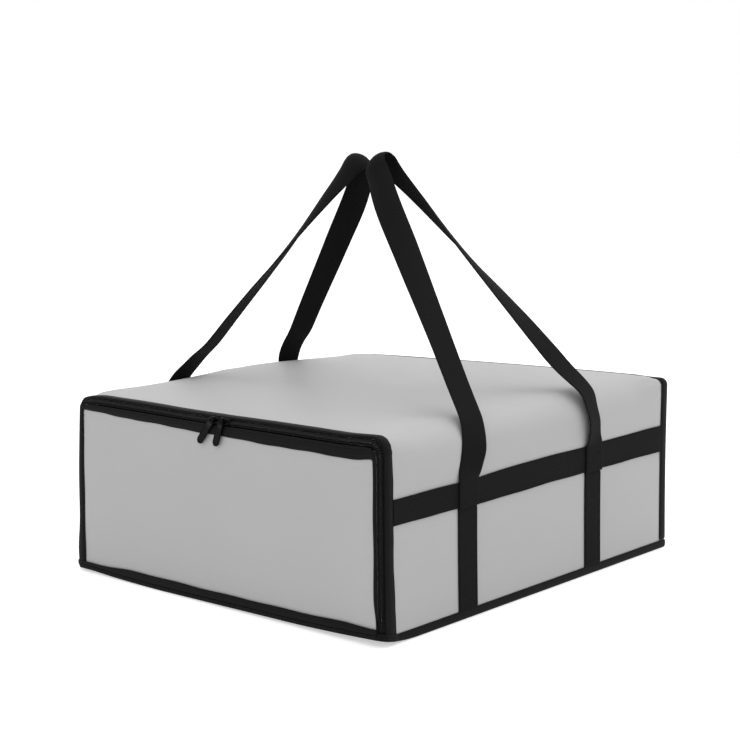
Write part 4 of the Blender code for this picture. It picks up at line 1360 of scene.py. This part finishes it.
def loop_path(side, sign, end, way):
    """Stations of half a loop, from the fold line to just before its peak."""
    fold, rise, out = handle_plane(side, sign)
    back = Vector((0, 1, 0))
    top = (Vector((PEAK[side][0], 0, PEAK[side][2])) - fold).length
    peak_y = PEAK[side][1]
    centre = top - PEAK_RADIUS
    reach = way * (FOLD_Y[side][end] - peak_y)
    far = math.hypot(reach, centre)
    touch = math.atan2(centre, reach) - math.acos(PEAK_RADIUS / far)
    touch_y = PEAK_RADIUS * math.cos(touch)
    touch_rise = centre + PEAK_RADIUS * math.sin(touch)
    straight = math.hypot(reach - touch_y, touch_rise)
    whole = straight + PEAK_RADIUS * (math.pi / 2 - touch)
    ahead = ((touch_y - reach) / straight, touch_rise / straight)
    line = []
    for step in range(64):
        run = straight * step / 64
        line.append((reach + ahead[0] * run, ahead[1] * run, ahead, run / whole))
    for step in range(14):
        angle = touch + (math.pi / 2 - touch) * step / 14
        spot = (PEAK_RADIUS * math.cos(angle), centre + PEAK_RADIUS * math.sin(angle))
        share = (straight + PEAK_RADIUS * (angle - touch)) / whole
        line.append((*spot, (-math.sin(angle), math.cos(angle)), share))
    made = []
    for along, height, (dy, dz), share in line:
        along += LOOP_BOW * bell(share, 0.80, 0.13)
        turn = math.radians(np.interp(share, LOOP_SHARES, LOOP_TURNS[side, end]))
        outside = back * way * dz - rise * dy
        thick = out * math.cos(turn) + outside * math.sin(turn)
        square = back * math.cos(turn) * abs(dz) - out * way * math.sin(turn)
        square += rise * -(way * dy) * math.cos(turn)
        wide = square.normalized()
        spot = fold + rise * height + back * (peak_y + way * along)
        spot.x += sign * loose(side, end, spot.z)
        spot.z += carried(side, end, spot)
        made.append((spot, wide * WEB / 2, thick * HANDLE_THICKNESS / 2))
    return made


def soften(table, rounds):
    """Averages each row with its neighbours, the two ends staying."""
    table = np.array(table, float)
    for _ in range(rounds):
        table[1:-1] = (table[:-2] + 2 * table[1:-1] + table[2:]) / 4
    return table


def sized(vectors, length):
    """The same directions, all of one length."""
    return vectors / np.linalg.norm(vectors, axis=1)[:, None] * length


def build_handles():
    """Each handle: a sewn foot on each side, and the long piece that goes over the top."""
    for side, sign in SIDES:
        halves = []
        for end, way in (("front", -1), ("rear", 1)):
            foot, rest = leg_path(side, sign, end, way)
            piece = webbing(f"handle_foot_{side}_{end}", foot)
            dress(piece, "webbing", None, [f"handle_end_{side}_{end}"])
            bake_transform(piece)
            halves.append(rest + loop_path(side, sign, end, way))
        fold, rise, out = handle_plane(side, sign)
        top = (Vector(PEAK[side]), out * WEB / 2, rise * HANDLE_THICKNESS / 2)
        front, rear = halves
        stations = front + [top] + [(c, -w, t) for c, w, t in reversed(rear)]
        centres, wides, thicks = (soften(part, 4) for part in zip(*stations))
        wides, thicks = sized(wides, WEB / 2), sized(thicks, HANDLE_THICKNESS / 2)
        count = len(stations)
        share = 1 - np.abs(np.arange(count) / (count - 1) * 2 - 1)
        cups = PEAK_CUP * ease(share, 0.42, 0.97)
        stations = list(zip(centres, wides, thicks))
        piece = webbing(f"handle_strap_{side}", stations, cups, SPLIT - BELT_LOW - 0.001)
        nodes = [f"handle_leg_{side}_front", f"handle_leg_{side}_rear", f"handle_loop_{side}"]
        dress(piece, "webbing", None, nodes)
        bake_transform(piece)


PICTURE = 740  # pixels across the photograph
FOCAL = 1637.40  # focal length of its camera in those pixels


def seen_share(m):
    """1 for what the camera sees itself, in a mirror or through glass, and 0 for the rest."""
    path = m.nodes.new("ShaderNodeLightPath")
    seen = m.math("MAXIMUM", path.outputs["Is Camera Ray"], path.outputs["Is Glossy Ray"])
    return m.math("MAXIMUM", seen, path.outputs["Is Transmission Ray"])


def build_stage():
    """White floor and world, soft light from above, and the camera of the photograph."""
    bm = bmesh.new()
    bmesh.ops.create_grid(bm, x_segments=1, y_segments=1, size=30.0)
    bmesh.ops.translate(bm, vec=(0, 0, -0.0005), verts=bm.verts)
    ground = add_mesh("studio_floor", bm, settled=False)
    white, m, shader = material("studio white", 0.9, 0.0, 0.0)
    shader.inputs["Base Color"].default_value = (0.86, 0.86, 0.86, 1.0)
    shader.inputs["Emission Color"].default_value = (1.0, 1.0, 1.0, 1.0)
    m.put(shader.inputs["Emission Strength"], m.math("MULTIPLY", seen_share(m), 0.50))
    ground.data.materials.append(white)

    world = bpy.data.worlds.new("studio")
    bpy.context.scene.world = world
    world.use_nodes = True
    m = Maker(world.node_tree)
    sky = m.nodes["Background"]
    sky.inputs["Color"].default_value = (1.0, 1.0, 1.0, 1.0)
    m.put(sky.inputs["Strength"], m.span(seen_share(m), 0.0, 1.0, 0.86, 1.0))

    for name, place, size, power in (
        ("key light", (0.3, -2.2, 1.7), 2.4, 8.0),
        ("side light", (1.6, 1.5, 1.4), 1.4, 4.0),
        ("top light", (0.2, 0.9, 2.7), 2.8, 23.0),
    ):
        lamp = bpy.data.lights.new(name, "AREA")
        lamp.shape = "SQUARE"
        lamp.size = size
        lamp.energy = power
        shown = bpy.data.objects.new(name, lamp)
        bpy.context.scene.collection.objects.link(shown)
        shown.location = place
        toward = Vector((0, 0, 0.15)) - Vector(place)
        shown.rotation_euler = toward.to_track_quat("-Z", "Y").to_euler()

    azimuth, elevation, roll = (math.radians(a) for a in (41.5736, 8.2057, -0.5357))
    distance, aside, above = 2.3067, -0.0091, 0.1434
    back = Vector((
        math.sin(azimuth) * math.cos(elevation),
        -math.cos(azimuth) * math.cos(elevation),
        math.sin(elevation),
    ))
    level = (-back).cross(Vector((0, 0, 1))).normalized()
    upward = level.cross(-back)
    right = level * math.cos(roll) + upward * math.sin(roll)
    up = upward * math.cos(roll) - level * math.sin(roll)
    place = Vector((0, 0, 0.124)) + back * distance + right * aside + up * above
    lens = bpy.data.cameras.new("photo camera")
    lens.sensor_width = 36.0
    lens.lens = FOCAL / PICTURE * lens.sensor_width
    lens.clip_start = 0.05
    camera = bpy.data.objects.new("photo camera", lens)
    bpy.context.scene.collection.objects.link(camera)
    camera.matrix_world = placed(place, right, up, back)
    bpy.context.scene.camera = camera
    bpy.context.scene.view_settings.view_transform = "Standard"


build_stage()
build_walls()
build_rear()
build_base()
build_flap_panel()
build_tapes()
build_flap_tapes()
build_hinge()
build_zip(Seam())
build_sliders()
build_belts()
build_handles()
